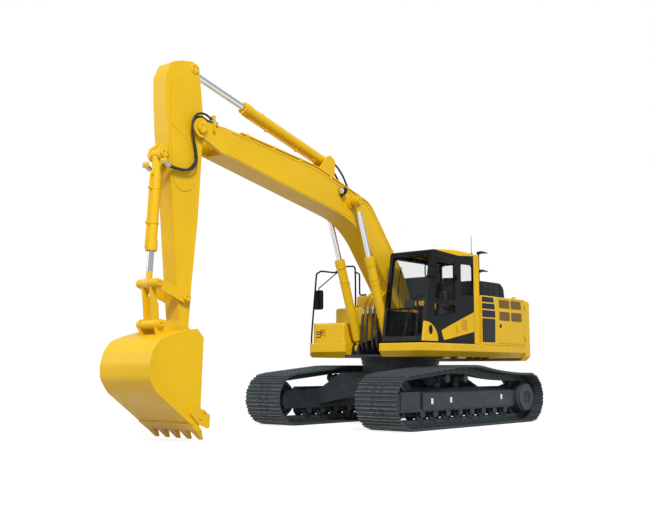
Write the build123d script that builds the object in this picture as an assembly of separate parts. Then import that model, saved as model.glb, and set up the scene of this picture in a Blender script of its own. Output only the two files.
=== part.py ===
from build123d import *
from math import atan2, cos, degrees, hypot, pi, radians, sin, sqrt, tan
import os

# Crawler excavator, in millimetres: +X towards the bucket, +Y to the machine's left, +Z up.
# It is drawn about the swing axis, on the ground, and every piece is moved by SWING_X when it
# is written, so that the origin lies under the middle of the machine's whole length.
SWING_X = -1770

# Fits: a pin in its bore, and what slides or turns past something else
PIN_FIT = 0.05
REST_GAP = 0.3
SIDE_GAP = 8

# Undercarriage
GAUGE = 2590
WHEEL_BASE = 4030
SHOE_WIDTH = 850
SHOE_PITCH = 203
SHOE_THICKNESS = 14
GROUSER_HEIGHT = 26
GROUSER_BASE = 34
GROUSER_TIP = 12
END_RADIUS = 475
LINK_HEIGHT = 115
LINK_WIDTH = 44
LINK_SPREAD = 78
CARRIER_X = (480, -110)
CARRIER_TOP = 1093
TRACK_SAG = 42
CARRIER_RADIUS = 78
CARRIER_DROP = 8
ROLLER_RADIUS = 92
ROLLER_COUNT = 8
ROLLER_PITCH = 395
FRAME_TOP = 620
FRAME_BOTTOM = 366
FRAME_HALF_WIDTH = 188
FRAME_SKIRT = 298
FRAME_PLATE = 16
REAR_PLATE = 50
SPROCKET_TEETH = 21
SPROCKET_WIDTH = 84
HUB_RADIUS = 264
CARBODY_TOP = 1110
CARBODY_BELLY = 500
TOW_EYE_X = 470
TOW_EYE_Z = 440
TOW_EYE_RADIUS = 36
TOW_EYE_WIDTH = 60
BEARING_RADIUS = 745
BEARING_BORE = 560
BEARING_SPLIT = 650

# Upper structure
HOUSE_BOTTOM = 1240
DECK_TOP = 1480
SKIRT_BREAK = 1345
HOUSE_HALF_WIDTH = 1425
SKIRT_TUCK = 85
DECK_INNER = 440
DECK_FRONT = 1240
RIGHT_FRONT = 1130
BULKHEAD_X = -1130
PANEL_TOP = 2415
PANEL_WALL = 30
HOOD_TOP = 2764
HUMP_TOP = 2925
HOOD_SIDES = (1040, -840)
HOOD_HINGE_LOWS = (-560, 560)
WEIGHT_FRONT = -2340
TAIL_RADIUS = 2940
WEIGHT_BOTTOM = 1185
BAY_HALF_WIDTH = 830
TANK_SPLIT = -100
FUEL_TOP = 2215
OIL_TOP = 2495
LIFT_HOLE = (-2560, 760)
LIFT_HOLE_RADIUS = 18
LIFT_HOLE_DEPTH = 75
DOOR_GAP = 6
KNUCKLE_RADIUS = 16
KNUCKLE_PIN = 9
KNUCKLE_LENGTH = 52
KNUCKLE_OFFSET = KNUCKLE_RADIUS + 2

# Cab
CAB_LEFT = 1370
CAB_RIGHT = 450
CAB_REAR = -685
CAB_BOTTOM = 1490
CAB_ROOF = 3170
CAB_CROWN = 3216
CROWN_X = 20
CAB_FRONT = 1175
CAB_BROW = 880
CAB_WALL = 46
GLASS = 8
DOOR_HINGE_X = 118
CAB_HINGE = (DOOR_HINGE_X, CAB_LEFT + KNUCKLE_OFFSET)
CAB_HINGE_LOWS = (1720, 2640)
DOOR_THICKNESS = 42

# Boom: drawn from its foot pin towards its tip pin, rows are along and across, up positive
BOOM_FOOT = (-80, 1865)
BOOM_LENGTH = 6103
BOOM_ANGLE = 27.26
BOOM_HALF_WIDTH = 225
FOOT_PIN_RADIUS = 60
TIP_PIN_RADIUS = 58
BOOM_SLOT_DEPTH = 560
CYLINDER_BASE = (820, 1400)
BOOM_EYE = (2619, 1067)
BOOM_CYLINDER_Y = 350
BOOM_CYLINDER_HEAD = 1730
BOOM_PISTON = 1225
NECK_LENGTH = 178

# Arm: drawn from the boom pin towards the bucket pin, across is positive to the front
ARM_LENGTH = 3138
ARM_ANGLE = -85.8
ARM_HALF_WIDTH = 150
ARM_TIP_BOSS = 104
ARM_EYE = (-909, 151)
ARM_CYLINDER_FOOT = (3347, 1453)
ARM_CYLINDER_HEAD = 2110
ARM_PISTON = 1215
BUCKET_CYLINDER_FOOT = (540, 601)
BUCKET_CYLINDER_HEAD = 1445
BUCKET_PISTON = 430
SIDE_LINK_PIVOT = (2609, 24)

# Bucket: offsets from its pin on the arm, along X and Z as it stands
LINK_PIN = (488, 127)
LINK_TOP = (526, 716)
BUCKET_HALF_WIDTH = 565
BUCKET_SHELL = 30
BUCKET_SIDE = 28
EAR_INNER = ARM_HALF_WIDTH + SIDE_GAP
EAR_OUTER = EAR_INNER + 46
BUCKET_PIN_RADIUS = 55
LINK_PIN_RADIUS = 42
TOOTH_COUNT = 5

# Cylinders: outer radius of the barrel, radius of the rod and of the eyes
BOOM_BARREL, BOOM_ROD, BOOM_EYE_RADIUS = 83, 49, 92
ARM_BARREL, ARM_ROD, ARM_EYE_RADIUS = 91, 54, 98
BUCKET_BARREL, BUCKET_ROD, BUCKET_EYE_RADIUS = 76, 46, 74


# Small tools for drawing

def rounded(places, radii, closed):
    """Straight runs between places, with each corner rounded as far as its runs allow."""
    count = len(places)
    places = [Vector(*place) for place in places]
    inner = range(count) if closed else range(1, count - 1)
    run_count = count if closed else count - 1
    runs = [places[(i + 1) % count] - places[i] for i in range(run_count)]
    cuts, half_turns = [0] * count, [0] * count
    for i in inner:
        half_turns[i] = radians(runs[i - 1].get_angle(runs[i])) / 2
        cuts[i] = radii[i] * tan(half_turns[i])
    fitted = list(cuts)
    for i, run in enumerate(runs):
        after = (i + 1) % count
        taken = cuts[i] + cuts[after]
        if taken > run.length * 0.998:
            share = run.length * 0.998 / taken
            fitted[i] = min(fitted[i], cuts[i] * share)
            fitted[after] = min(fitted[after], cuts[after] * share)
    edges = []
    reach, leave = list(places), list(places)
    for i in inner:
        if fitted[i] < 0.01:
            continue
        reach[i] = places[i] - runs[i - 1].normalized() * fitted[i]
        leave[i] = places[i] + runs[i].normalized() * fitted[i]
        radius = fitted[i] / tan(half_turns[i])
        inward = (runs[i].normalized() - runs[i - 1].normalized()).normalized()
        middle = places[i] + inward * (radius / cos(half_turns[i]) - radius)
        edges.append(Edge.make_three_point_arc(reach[i], middle, leave[i]))
    for i in range(run_count):
        edges.append(Edge.make_line(leave[i], reach[(i + 1) % count]))
    return edges


def outline(rows):
    """A closed outline from rows of (first, second, corner radius)."""
    return rounded([row[:2] for row in rows], [row[2] for row in rows], True)


def side_form(rows, low, high):
    """A form whose outline of (x, z, corner radius) runs across the machine, y from low to high."""
    plane = Plane(origin=(0, high, 0), x_dir=(1, 0, 0), z_dir=(0, -1, 0))
    return extrude(plane * make_face(outline(rows)), high - low)


def top_form(rows, low, high):
    """A form with a plan of (x, y, corner radius), z from low to high."""
    return extrude(Plane(origin=(0, 0, low)) * make_face(outline(rows)), high - low)


def front_form(rows, low, high):
    """A form with a section of (y, z, corner radius), x from low to high."""
    plane = Plane(origin=(low, 0, 0), x_dir=(0, 1, 0), z_dir=(1, 0, 0))
    return extrude(plane * make_face(outline(rows)), high - low)


def block(x, y, z):
    """A box from three (low, high) pairs."""
    size = (x[1] - x[0], y[1] - y[0], z[1] - z[0])
    return Pos(x[0], y[0], z[0]) * Box(*size, align=(Align.MIN, Align.MIN, Align.MIN))


def pin(place, radius, low, high):
    """A round bar across the machine at a place of (x, z)."""
    plane = Plane(origin=(place[0], low, place[1]), z_dir=(0, 1, 0))
    return plane * Cylinder(radius, high - low, align=(Align.CENTER, Align.CENTER, Align.MIN))


def bar(start, end, radius):
    """A round bar between two points."""
    start, end = Vector(*start), Vector(*end)
    plane = Plane(origin=start, z_dir=end - start)
    return plane * Cylinder(radius, (end - start).length, align=(Align.CENTER, Align.CENTER, Align.MIN))


def post(place, radius, low, high):
    """An upright round bar at a place of (x, y)."""
    return Pos(place[0], place[1], low) * Cylinder(
        radius, high - low, align=(Align.CENTER, Align.CENTER, Align.MIN))


def ring(place, outer, inner, low, high):
    """A round ring across the machine."""
    return pin(place, outer, low, high) - pin(place, inner, low - 1, high + 1)


def turned(rows, centre, place_y):
    """A wheel turned about a crosswise axis, from rows of (offset across, radius)."""
    face = make_face(Polyline([(r, y) for y, r in rows], close=True))
    plane = Plane(origin=(centre[0], place_y, centre[1]), x_dir=(1, 0, 0), z_dir=(0, 0, 1))
    return revolve(plane * face, Axis((centre[0], place_y, centre[1]), (0, 1, 0)))


def tube(points, radius, bend):
    """A bent tube through points, its corners rounded to one bend radius or to a list of them."""
    bends = bend if isinstance(bend, list) else [bend] * len(points)
    path = Wire(rounded(points, bends, False))
    start = Plane(origin=path @ 0, z_dir=path % 0)
    return sweep(start * Circle(radius), path)


def upright_hinge(place, outward, low):
    """The fixed and the moving half of a hinge whose pin stands at a place of (x, y).

    The fixed half lies behind the pin and the moving half in front of it; outward is +1 or -1 along Y.
    """
    x, y = place
    middle, high = low + KNUCKLE_LENGTH, low + 2 * KNUCKLE_LENGTH
    inner, outer = sorted((y - outward * (KNUCKLE_RADIUS + 3), y + outward * 8))
    fixed = post(place, KNUCKLE_RADIUS, low, middle)
    fixed += block((x - KNUCKLE_RADIUS - 6, x - KNUCKLE_PIN - 2), (inner, outer), (low, middle))
    fixed -= post(place, KNUCKLE_PIN + PIN_FIT, low - 1, middle + 1)
    moving = post(place, KNUCKLE_RADIUS, middle + REST_GAP, high)
    moving += block((x + KNUCKLE_PIN + 2, x + 2 * KNUCKLE_RADIUS), (inner, outer), (middle + REST_GAP, high))
    moving += post(place, KNUCKLE_PIN, low - 4, middle + 1)
    return fixed, moving


def lying_hinge(place, low):
    """The fixed and the moving half of a hinge whose pin lies across the machine at a place of (x, z).

    The fixed half stands on what is below the pin, and the moving half reaches to the rear.
    """
    x, z = place
    middle, high = low + KNUCKLE_LENGTH, low + 2 * KNUCKLE_LENGTH
    fixed = pin(place, KNUCKLE_RADIUS, low, middle)
    fixed += block((x - 12, x + 1), (low, middle), (z - KNUCKLE_OFFSET - 1, z - KNUCKLE_PIN - 2))
    fixed -= pin(place, KNUCKLE_PIN + PIN_FIT, low - 1, middle + 1)
    moving = pin(place, KNUCKLE_RADIUS, middle + REST_GAP, high)
    moving += block((x - KNUCKLE_OFFSET - 6, x - KNUCKLE_PIN - 2), (middle + REST_GAP, high), (z - 10, z + 8))
    moving += pin(place, KNUCKLE_PIN, low - 4, middle + 1)
    return fixed, moving


def mirrored(shape):
    """The same piece on the machine's right."""
    return mirror(shape, Plane.XZ)


def along(origin, angle, offset):
    """The (x, z) of an offset of (along, across) in a frame at an origin, turned by an angle."""
    c, s = cos(radians(angle)), sin(radians(angle))
    return (origin[0] + c * offset[0] - s * offset[1], origin[1] + s * offset[0] + c * offset[1])


def placed(rows, origin, angle):
    """Rows of (along, across, radius) as rows of (x, z, radius)."""
    return [(*along(origin, angle, row[:2]), row[2]) for row in rows]


def beside(rows, offset):
    """An open line of rows moved sideways, to the left of its run where the offset is positive."""
    out = []
    for i, (x, z, r) in enumerate(rows):
        after = rows[min(i + 1, len(rows) - 1)]
        before = rows[max(i - 1, 0)]
        b = direction((x, z), after) if i + 1 < len(rows) else direction(before, (x, z))
        a = direction(before, (x, z)) if i else b
        turn = (b - a + 180) % 360 - 180
        middle = radians(a + turn / 2 + 90)
        reach = offset / cos(radians(turn / 2))
        radius = max(r + (offset if turn < 0 else -offset), 0) if r else 0
        out.append((x + cos(middle) * reach, z + sin(middle) * reach, radius))
    return out


def distance(a, b):
    return hypot(b[0] - a[0], b[1] - a[1])


def direction(a, b):
    return degrees(atan2(b[1] - a[1], b[0] - a[0]))


# Pins, as (x, z)
BOOM_TIP = along(BOOM_FOOT, BOOM_ANGLE, (BOOM_LENGTH, 0))
BOOM_ROD_PIN = along(BOOM_FOOT, BOOM_ANGLE, BOOM_EYE)
ARM_BASE_PIN = along(BOOM_FOOT, BOOM_ANGLE, ARM_CYLINDER_FOOT)
ARM_ROD_PIN = along(BOOM_TIP, ARM_ANGLE, ARM_EYE)
BUCKET_PIN = along(BOOM_TIP, ARM_ANGLE, (ARM_LENGTH, 0))
BUCKET_BASE_PIN = along(BOOM_TIP, ARM_ANGLE, BUCKET_CYLINDER_FOOT)
SIDE_PIN = along(BOOM_TIP, ARM_ANGLE, SIDE_LINK_PIVOT)
LOWER_LINK_PIN = (BUCKET_PIN[0] + LINK_PIN[0], BUCKET_PIN[1] + LINK_PIN[1])
UPPER_LINK_PIN = (BUCKET_PIN[0] + LINK_TOP[0], BUCKET_PIN[1] + LINK_TOP[1])

parts = {}


# Tracks

PLATE_RADIUS = END_RADIUS - GROUSER_HEIGHT
RAIL_RADIUS = PLATE_RADIUS - SHOE_THICKNESS - LINK_HEIGHT
WHEEL_Z = END_RADIUS
IDLER = (WHEEL_BASE / 2, WHEEL_Z)
SPROCKET = (-WHEEL_BASE / 2, WHEEL_Z)


def belt_path():
    """The shoes' outer face as a dense closed line: a belt round the idler, the carriers and the sprocket."""
    carrier_z = CARRIER_TOP - GROUSER_HEIGHT - CARRIER_RADIUS - LINK_HEIGHT - SHOE_THICKNESS
    carrier_outer = CARRIER_RADIUS + LINK_HEIGHT + SHOE_THICKNESS
    wheels = [(*SPROCKET, PLATE_RADIUS), (*IDLER, PLATE_RADIUS)]
    wheels += [(x, carrier_z, carrier_outer) for x in CARRIER_X]
    steps = 24
    leave, reach = [], []
    for i, (x, z, r) in enumerate(wheels):
        x2, z2, r2 = wheels[(i + 1) % len(wheels)]
        span, heading = hypot(x2 - x, z2 - z), atan2(z2 - z, x2 - x)
        normal = heading - pi / 2 + atan2(r2 - r, sqrt(span**2 - (r2 - r) ** 2)) * -1
        leave.append(normal)
        reach.append(normal)
    points = []
    for i, (x, z, r) in enumerate(wheels):
        first, last = reach[i - 1], leave[i]
        while last < first:
            last += 2 * pi
        for k in range(steps + 1):
            a = first + (last - first) * k / steps
            points.append((x + r * cos(a), z + r * sin(a)))
        if i == len(wheels) - 1:
            x2, z2, r2 = wheels[0]
            start = points[-1]
            end = (x2 + r2 * cos(reach[-1]), z2 + r2 * sin(reach[-1]))
            for k in range(1, steps):
                t = k / steps
                points.append((start[0] + (end[0] - start[0]) * t,
                               start[1] + (end[1] - start[1]) * t - 4 * TRACK_SAG * t * (1 - t)))
    return points


def shoe_ends():
    """Where the shoes meet along the belt, evenly spaced, and how many there are."""
    line = belt_path()
    line.append(line[0])
    lengths = [0]
    for a, b in zip(line, line[1:]):
        lengths.append(lengths[-1] + distance(a, b))
    count = round(lengths[-1] / SHOE_PITCH)
    ends, k = [], 0
    for i in range(count):
        want = lengths[-1] * i / count
        while lengths[k + 1] < want:
            k += 1
        t = (want - lengths[k]) / (lengths[k + 1] - lengths[k])
        a, b = line[k], line[k + 1]
        ends.append((a[0] + (b[0] - a[0]) * t, a[1] + (b[1] - a[1]) * t))
    return ends


def inset(points, depth):
    """A closed line moved inwards, with points in a straight run dropped."""
    out = []
    for i, here in enumerate(points):
        before, after = points[i - 1], points[(i + 1) % len(points)]
        a = atan2(here[1] - before[1], here[0] - before[0])
        b = atan2(after[1] - here[1], after[0] - here[0])
        turn = (b - a + pi) % (2 * pi) - pi
        if abs(turn) < 1e-4:
            continue
        middle = a + turn / 2 + pi / 2
        out.append((here[0] + cos(middle) * depth / cos(turn / 2),
                    here[1] + sin(middle) * depth / cos(turn / 2)))
    return out


def band(outer, inner, low, high):
    """The closed band between two lines of (x, z)."""
    plane = Plane(origin=(0, high, 0), x_dir=(1, 0, 0), z_dir=(0, -1, 0))
    face = make_face(Polyline(outer, close=True)) - make_face(Polyline(inner, close=True))
    return extrude(plane * face, high - low)


def track(centre):
    """One closed track: shoes with three grousers each, on the two rails of its chain."""
    ends = shoe_ends()
    tread = []
    for i, start in enumerate(ends):
        end = ends[(i + 1) % len(ends)]
        length = distance(start, end)
        tx, tz = (end[0] - start[0]) / length, (end[1] - start[1]) / length
        for g in (0.13, 0.5, 0.87):
            for shift, height in ((-GROUSER_BASE, 0), (-GROUSER_TIP, GROUSER_HEIGHT),
                                  (GROUSER_TIP, GROUSER_HEIGHT), (GROUSER_BASE, 0)):
                s = g * length + shift / 2
                tread.append((start[0] + tx * s + tz * height, start[1] + tz * s - tx * height))
    plate_inside = inset(ends, SHOE_THICKNESS)
    rail_inside = inset(ends, SHOE_THICKNESS + LINK_HEIGHT)
    loop = band(tread, plate_inside, centre - SHOE_WIDTH / 2, centre + SHOE_WIDTH / 2)
    for side in (-1, 1):
        middle = centre + side * LINK_SPREAD
        loop += band(plate_inside, rail_inside, middle - LINK_WIDTH / 2, middle + LINK_WIDTH / 2)
    return loop


def idler(centre):
    """The front idler: two treads for the rails, and a flange between them."""
    tread, flange, half = RAIL_RADIUS - 12.5, RAIL_RADIUS + 26, LINK_SPREAD + LINK_WIDTH / 2
    inner = LINK_SPREAD - LINK_WIDTH / 2 - 2
    rows = [(-half, 0), (-half, 120), (-half + 34, 150), (-half + 34, 240), (-half, 262), (-half, tread),
            (-inner, tread), (-inner, flange - 10), (-inner + 12, flange), (inner - 12, flange),
            (inner, flange - 10), (inner, tread), (half, tread), (half, 262), (half - 34, 240),
            (half - 34, 150), (half, 120), (half, 0)]
    wheel = turned(rows, IDLER, centre)
    return wheel


def sprocket(centre):
    """The toothed wheel and the final drive's round case."""
    root, tip = RAIL_RADIUS + 6, RAIL_RADIUS + 62
    pitch = 2 * pi / SPROCKET_TEETH
    points = []
    for i in range(SPROCKET_TEETH):
        a = i * pitch
        for share, radius in ((-0.34, root), (-0.13, tip), (0.13, tip), (0.34, root)):
            points.append((SPROCKET[0] + radius * cos(a + share * pitch),
                           SPROCKET[1] + radius * sin(a + share * pitch)))
    plane = Plane(origin=(0, centre + SPROCKET_WIDTH / 2, 0), x_dir=(1, 0, 0), z_dir=(0, -1, 0))
    wheel = extrude(plane * make_face(Polyline(points, close=True)), SPROCKET_WIDTH)
    outer = FRAME_HALF_WIDTH + 118
    seat = -FRAME_HALF_WIDTH + REAR_PLATE + REST_GAP
    rows = [(seat, 0), (seat, 205), (-40, 235), (60, 235), (60, 285),
            (outer - 60, 285), (outer - 46, HUB_RADIUS), (outer - 12, HUB_RADIUS), (outer, HUB_RADIUS - 14),
            (outer, 0)]
    return wheel + turned(rows, SPROCKET, centre)


def rollers(centre):
    """The bottom rollers under the frame and the two carriers above it."""
    shapes = []
    half = LINK_SPREAD + LINK_WIDTH / 2
    lowest = GROUSER_HEIGHT + SHOE_THICKNESS + LINK_HEIGHT
    first = ROLLER_PITCH * (ROLLER_COUNT - 1) / 2
    flange = 18
    for i in range(ROLLER_COUNT):
        place = (-first + i * ROLLER_PITCH, lowest + ROLLER_RADIUS + REST_GAP)
        rows = [(-half - 52, 0), (-half - 52, 42), (-half - 20, 46), (-half - 20, ROLLER_RADIUS + flange),
                (-half - 4, ROLLER_RADIUS + flange), (-half, ROLLER_RADIUS), (-half + 46, ROLLER_RADIUS),
                (-half + 60, ROLLER_RADIUS - 22), (half - 60, ROLLER_RADIUS - 22),
                (half - 46, ROLLER_RADIUS), (half, ROLLER_RADIUS), (half + 4, ROLLER_RADIUS + flange),
                (half + 20, ROLLER_RADIUS + flange), (half + 20, 46), (half + 52, 42), (half + 52, 0)]
        shapes.append(turned(rows, place, centre))
    carrier_z = CARRIER_TOP - lowest - CARRIER_RADIUS - CARRIER_DROP
    for x in CARRIER_X:
        rows = [(-half - 10, 0), (-half - 10, CARRIER_RADIUS - 12), (-half, CARRIER_RADIUS),
                (-half + 46, CARRIER_RADIUS), (-half + 58, CARRIER_RADIUS - 16),
                (half - 58, CARRIER_RADIUS - 16), (half - 46, CARRIER_RADIUS), (half, CARRIER_RADIUS),
                (half + 10, CARRIER_RADIUS - 12), (half + 10, 0)]
        shapes.append(turned(rows, (x, carrier_z), centre))
    return Compound(shapes)


def track_frame(centre):
    """The box frame between idler and sprocket, with its nose, its skirts and its brackets."""
    low, high = centre - FRAME_HALF_WIDTH, centre + FRAME_HALF_WIDTH
    front, rear = 1570, -1670
    body = side_form([(front, FRAME_BOTTOM, 0), (front, FRAME_TOP, 0), (rear, FRAME_TOP, 0),
                      (rear, FRAME_BOTTOM, 0)], low, high)
    ridge = front_form([(low + 4, FRAME_TOP - 1, 0), (high - 4, FRAME_TOP - 1, 0), (centre + 96, 694, 12),
                        (centre - 96, 694, 12)], rear + 40, front - 60)
    body += ridge
    for y in (low, high - FRAME_PLATE):
        body += side_form([(front, FRAME_SKIRT, 0), (front, FRAME_BOTTOM + 10, 0),
                           (rear, FRAME_BOTTOM + 10, 0), (rear, FRAME_SKIRT, 0)], y, y + FRAME_PLATE)
    half = LINK_SPREAD + LINK_WIDTH / 2
    for side in (-1, 1):
        inner, outer = sorted((centre + side * (half + 12), centre + side * (FRAME_HALF_WIDTH + 18)))
        nose = side_form([(front - 40, 300, 0), (2080, 300, 60), (2130, 360, 60), (2130, 580, 60),
                          (2060, 636, 40), (front - 40, 640, 0)], inner, outer)
        body += nose
    body += pin(IDLER, 46, centre - half - 12, centre - half - 0.5)
    body += pin(IDLER, 46, centre + half + 0.5, centre + half + 12)
    body -= ring(SPROCKET, RAIL_RADIUS + 74, 10, centre - SPROCKET_WIDTH / 2 - 8, centre + SPROCKET_WIDTH / 2 + 8)
    rear_inner = centre - FRAME_HALF_WIDTH
    body += side_form([(rear + 40, 330, 0), (rear + 40, 660, 0), (SPROCKET[0], 740, 200),
                       (SPROCKET[0] - 240, WHEEL_Z, 200), (SPROCKET[0], 210, 200)],
                      rear_inner, rear_inner + REAR_PLATE)
    lowest = GROUSER_HEIGHT + SHOE_THICKNESS + LINK_HEIGHT
    first = ROLLER_PITCH * (ROLLER_COUNT - 1) / 2
    for i in range(ROLLER_COUNT):
        x, z = -first + i * ROLLER_PITCH, lowest + ROLLER_RADIUS + REST_GAP
        for side in (-1, 1):
            inner, outer = sorted((centre + side * (half + 52.5), centre + side * (half + 80)))
            body += side_form([(x - 62, z - 46, 24), (x + 62, z - 46, 24), (x + 74, FRAME_BOTTOM + 5, 0),
                               (x - 74, FRAME_BOTTOM + 5, 0)], inner, outer)
    carrier_z = CARRIER_TOP - lowest - CARRIER_RADIUS - CARRIER_DROP
    for x in CARRIER_X:
        foot = side_form([(x - 70, FRAME_TOP + 20, 0), (x + 70, FRAME_TOP + 20, 0),
                          (x + 42, carrier_z + 30, 30), (x - 42, carrier_z + 30, 30)],
                         centre - half - 62, centre - half - 10.5)
        body += foot
    return body


def make_track_side(side, centre):
    """The pieces of one track, made on the left and mirrored to the right."""
    pieces = {"track": track(centre), "idler": idler(centre), "sprocket": sprocket(centre),
              "rollers": rollers(centre), "track_frame": track_frame(centre)}
    for name, shape in pieces.items():
        parts[f"{name}_{side}"] = shape if side == "left" else mirrored(shape)


for side in ("left", "right"):
    make_track_side(side, GAUGE / 2)


# Carbody: a drum under the swing bearing, on four legs that reach the track frames

def carbody():
    reach = GAUGE / 2 - FRAME_HALF_WIDTH
    section = front_form([(-reach, 360, 0), (-560, CARBODY_BELLY, 0), (560, CARBODY_BELLY, 0),
                          (reach, 360, 0), (reach, 640, 0), (700, 960, 120), (-700, 960, 120),
                          (-reach, 640, 0)], -1200, 1200)
    plan = top_form([(1130, reach, 0), (620, reach, 0), (430, 640, 150), (-430, 640, 150),
                     (-620, reach, 0), (-1130, reach, 0), (-640, 0, 260), (-1130, -reach, 0),
                     (-620, -reach, 0), (-430, -640, 150), (430, -640, 150), (620, -reach, 0),
                     (1130, -reach, 0), (640, 0, 260)], 200, 1000)
    body = section & plan
    body += post((0, 0), BEARING_RADIUS - 20, 700, CARBODY_TOP)
    body -= post((0, 0), 230, CARBODY_BELLY - 200, CARBODY_TOP + 1)
    for x in (-TOW_EYE_X, TOW_EYE_X):
        plate = side_form([(x - 95, TOW_EYE_Z - 90, 60), (x + 95, TOW_EYE_Z - 90, 60), (x + 95, 620, 0),
                           (x - 95, 620, 0)], -TOW_EYE_WIDTH / 2, TOW_EYE_WIDTH / 2)
        plate -= pin((x, TOW_EYE_Z), TOW_EYE_RADIUS, -TOW_EYE_WIDTH, TOW_EYE_WIDTH)
        body += plate
    return body


parts["carbody"] = carbody()
parts["swing_outer_race"] = (post((0, 0), BEARING_RADIUS, CARBODY_TOP, 1178)
                             - post((0, 0), BEARING_SPLIT + REST_GAP, CARBODY_TOP - 1, 1179))
parts["swing_inner_race"] = (post((0, 0), BEARING_SPLIT, 1118, HOUSE_BOTTOM)
                             + post((0, 0), BEARING_RADIUS + 15, 1186, HOUSE_BOTTOM)
                             - post((0, 0), BEARING_BORE, 1110, HOUSE_BOTTOM + 1))


# Upper structure: revolving frame, decks and counterweight

BRACKET_INNER = BOOM_HALF_WIDTH + 37
BRACKET_OUTER = BRACKET_INNER + 36
EYE_INNER = BRACKET_OUTER + SIDE_GAP
EYE_OUTER = 2 * BOOM_CYLINDER_Y - EYE_INNER
CHEEK_INNER = EYE_OUTER + SIDE_GAP
CHEEK_OUTER = CHEEK_INNER + 30


def revolving_frame():
    """The main plate with the boom's tall brackets, the cylinders' brackets and the tail beams."""
    edge = DECK_INNER - REST_GAP
    frame = block((WEIGHT_FRONT + REST_GAP, 1150), (-edge, edge), (HOUSE_BOTTOM, 1285))
    for side in (-1, 1):
        low, high = sorted((side * BRACKET_INNER, side * BRACKET_OUTER))
        frame += side_form([(-1060, 1280, 0), (-1060, 1480, 40), (-560, 1560, 200),
                            (BOOM_FOOT[0] - 190, BOOM_FOOT[1] + 120, 120),
                            (BOOM_FOOT[0] + 170, BOOM_FOOT[1] + 160, 120), (500, 1580, 160),
                            (CYLINDER_BASE[0] + 130, CYLINDER_BASE[1] + 90, 80),
                            (CYLINDER_BASE[0] + 150, 1280, 0)], low, high)
        low, high = sorted((side * CHEEK_INNER, side * CHEEK_OUTER))
        frame += side_form([(CYLINDER_BASE[0] - 230, 1280, 0),
                            (CYLINDER_BASE[0] - 110, CYLINDER_BASE[1] + 90, 80),
                            (CYLINDER_BASE[0] + 110, CYLINDER_BASE[1] + 90, 80),
                            (CYLINDER_BASE[0] + 150, 1280, 0)], low, high)
        low, high = sorted((side * BRACKET_INNER, side * CHEEK_OUTER))
        frame += pin(CYLINDER_BASE, FOOT_PIN_RADIUS - 8, low, high)
        low, high = sorted((side * 280, side * 320))
        frame += block((WEIGHT_FRONT + REST_GAP, -1040), (low, high), (1280, DECK_TOP + 30))
    frame += pin(BOOM_FOOT, FOOT_PIN_RADIUS, -BRACKET_OUTER - 40, BRACKET_OUTER + 40)
    return frame


def deck(front, inner, top, corner):
    """One side deck: the skirt is tucked under along the side and the front."""
    section = front_form([(inner, HOUSE_BOTTOM, 0), (HOUSE_HALF_WIDTH - SKIRT_TUCK, HOUSE_BOTTOM, 0),
                          (HOUSE_HALF_WIDTH, SKIRT_BREAK, 0), (HOUSE_HALF_WIDTH, top - 16, 0),
                          (HOUSE_HALF_WIDTH - 16, top, 0), (inner, top, 0)], WEIGHT_FRONT + REST_GAP, front)
    profile = side_form([(WEIGHT_FRONT, HOUSE_BOTTOM, 0), (front - SKIRT_TUCK, HOUSE_BOTTOM, 0),
                         (front, SKIRT_BREAK, 0), (front, top - 16, 0), (front - 16, top, 0),
                         (WEIGHT_FRONT, top, 0)], inner, HOUSE_HALF_WIDTH)
    body = section & profile
    if corner:
        plan = top_form([(WEIGHT_FRONT, inner, 0), (front + 1, inner, 0),
                         (front + 1, HOUSE_HALF_WIDTH + 1, corner), (WEIGHT_FRONT, HOUSE_HALF_WIDTH + 1, 0)],
                        HOUSE_BOTTOM - 1, top + 1)
        body = body & plan
    return body


def counterweight():
    """The cast weight: a tail arc about the swing axis, tucked under like the skirts."""
    top = PANEL_TOP - 12
    body = block((-TAIL_RADIUS - 10, WEIGHT_FRONT), (-HOUSE_HALF_WIDTH, HOUSE_HALF_WIDTH),
                 (WEIGHT_BOTTOM, top)) & post((0, 0), TAIL_RADIUS, WEIGHT_BOTTOM, top)
    corners = body.edges().filter_by(Axis.Z).sort_by(Axis.X)[:2]
    body = fillet(corners, 150)
    rim = [e for e in body.faces().sort_by(Axis.Z)[-1].edges() if e.center().X < WEIGHT_FRONT - 5]
    body = fillet(rim, 70)
    foot = [e for e in body.faces().sort_by(Axis.Z)[0].edges() if e.center().X < WEIGHT_FRONT - 5]
    body = chamfer(foot, SKIRT_TUCK)
    for side in (-1, 1):
        body -= post((LIFT_HOLE[0], side * LIFT_HOLE[1]), LIFT_HOLE_RADIUS, top - LIFT_HOLE_DEPTH, top + 1)
    return body


parts["revolving_frame"] = revolving_frame()
parts["deck_left"] = deck(DECK_FRONT, DECK_INNER, DECK_TOP, 0)
parts["deck_right"] = mirrored(deck(RIGHT_FRONT, DECK_INNER, DECK_TOP + 30, 180))
parts["counterweight"] = counterweight()


# Engine bay and side houses

SIDE_DOOR = (-1262, WEIGHT_FRONT + 26)
SIDE_HINGE = (SIDE_DOOR[1] - 3, HOUSE_HALF_WIDTH + KNUCKLE_OFFSET)
SIDE_HINGE_LOWS = (1600, 2240)
HOOD_HINGE = (BULKHEAD_X - 2, 0, PANEL_TOP + KNUCKLE_OFFSET)
VENTS = ((-1327, -1715), (-1786, -2188))
VENT_ROWS = ((1964, 2128), (2206, 2359))


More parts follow.
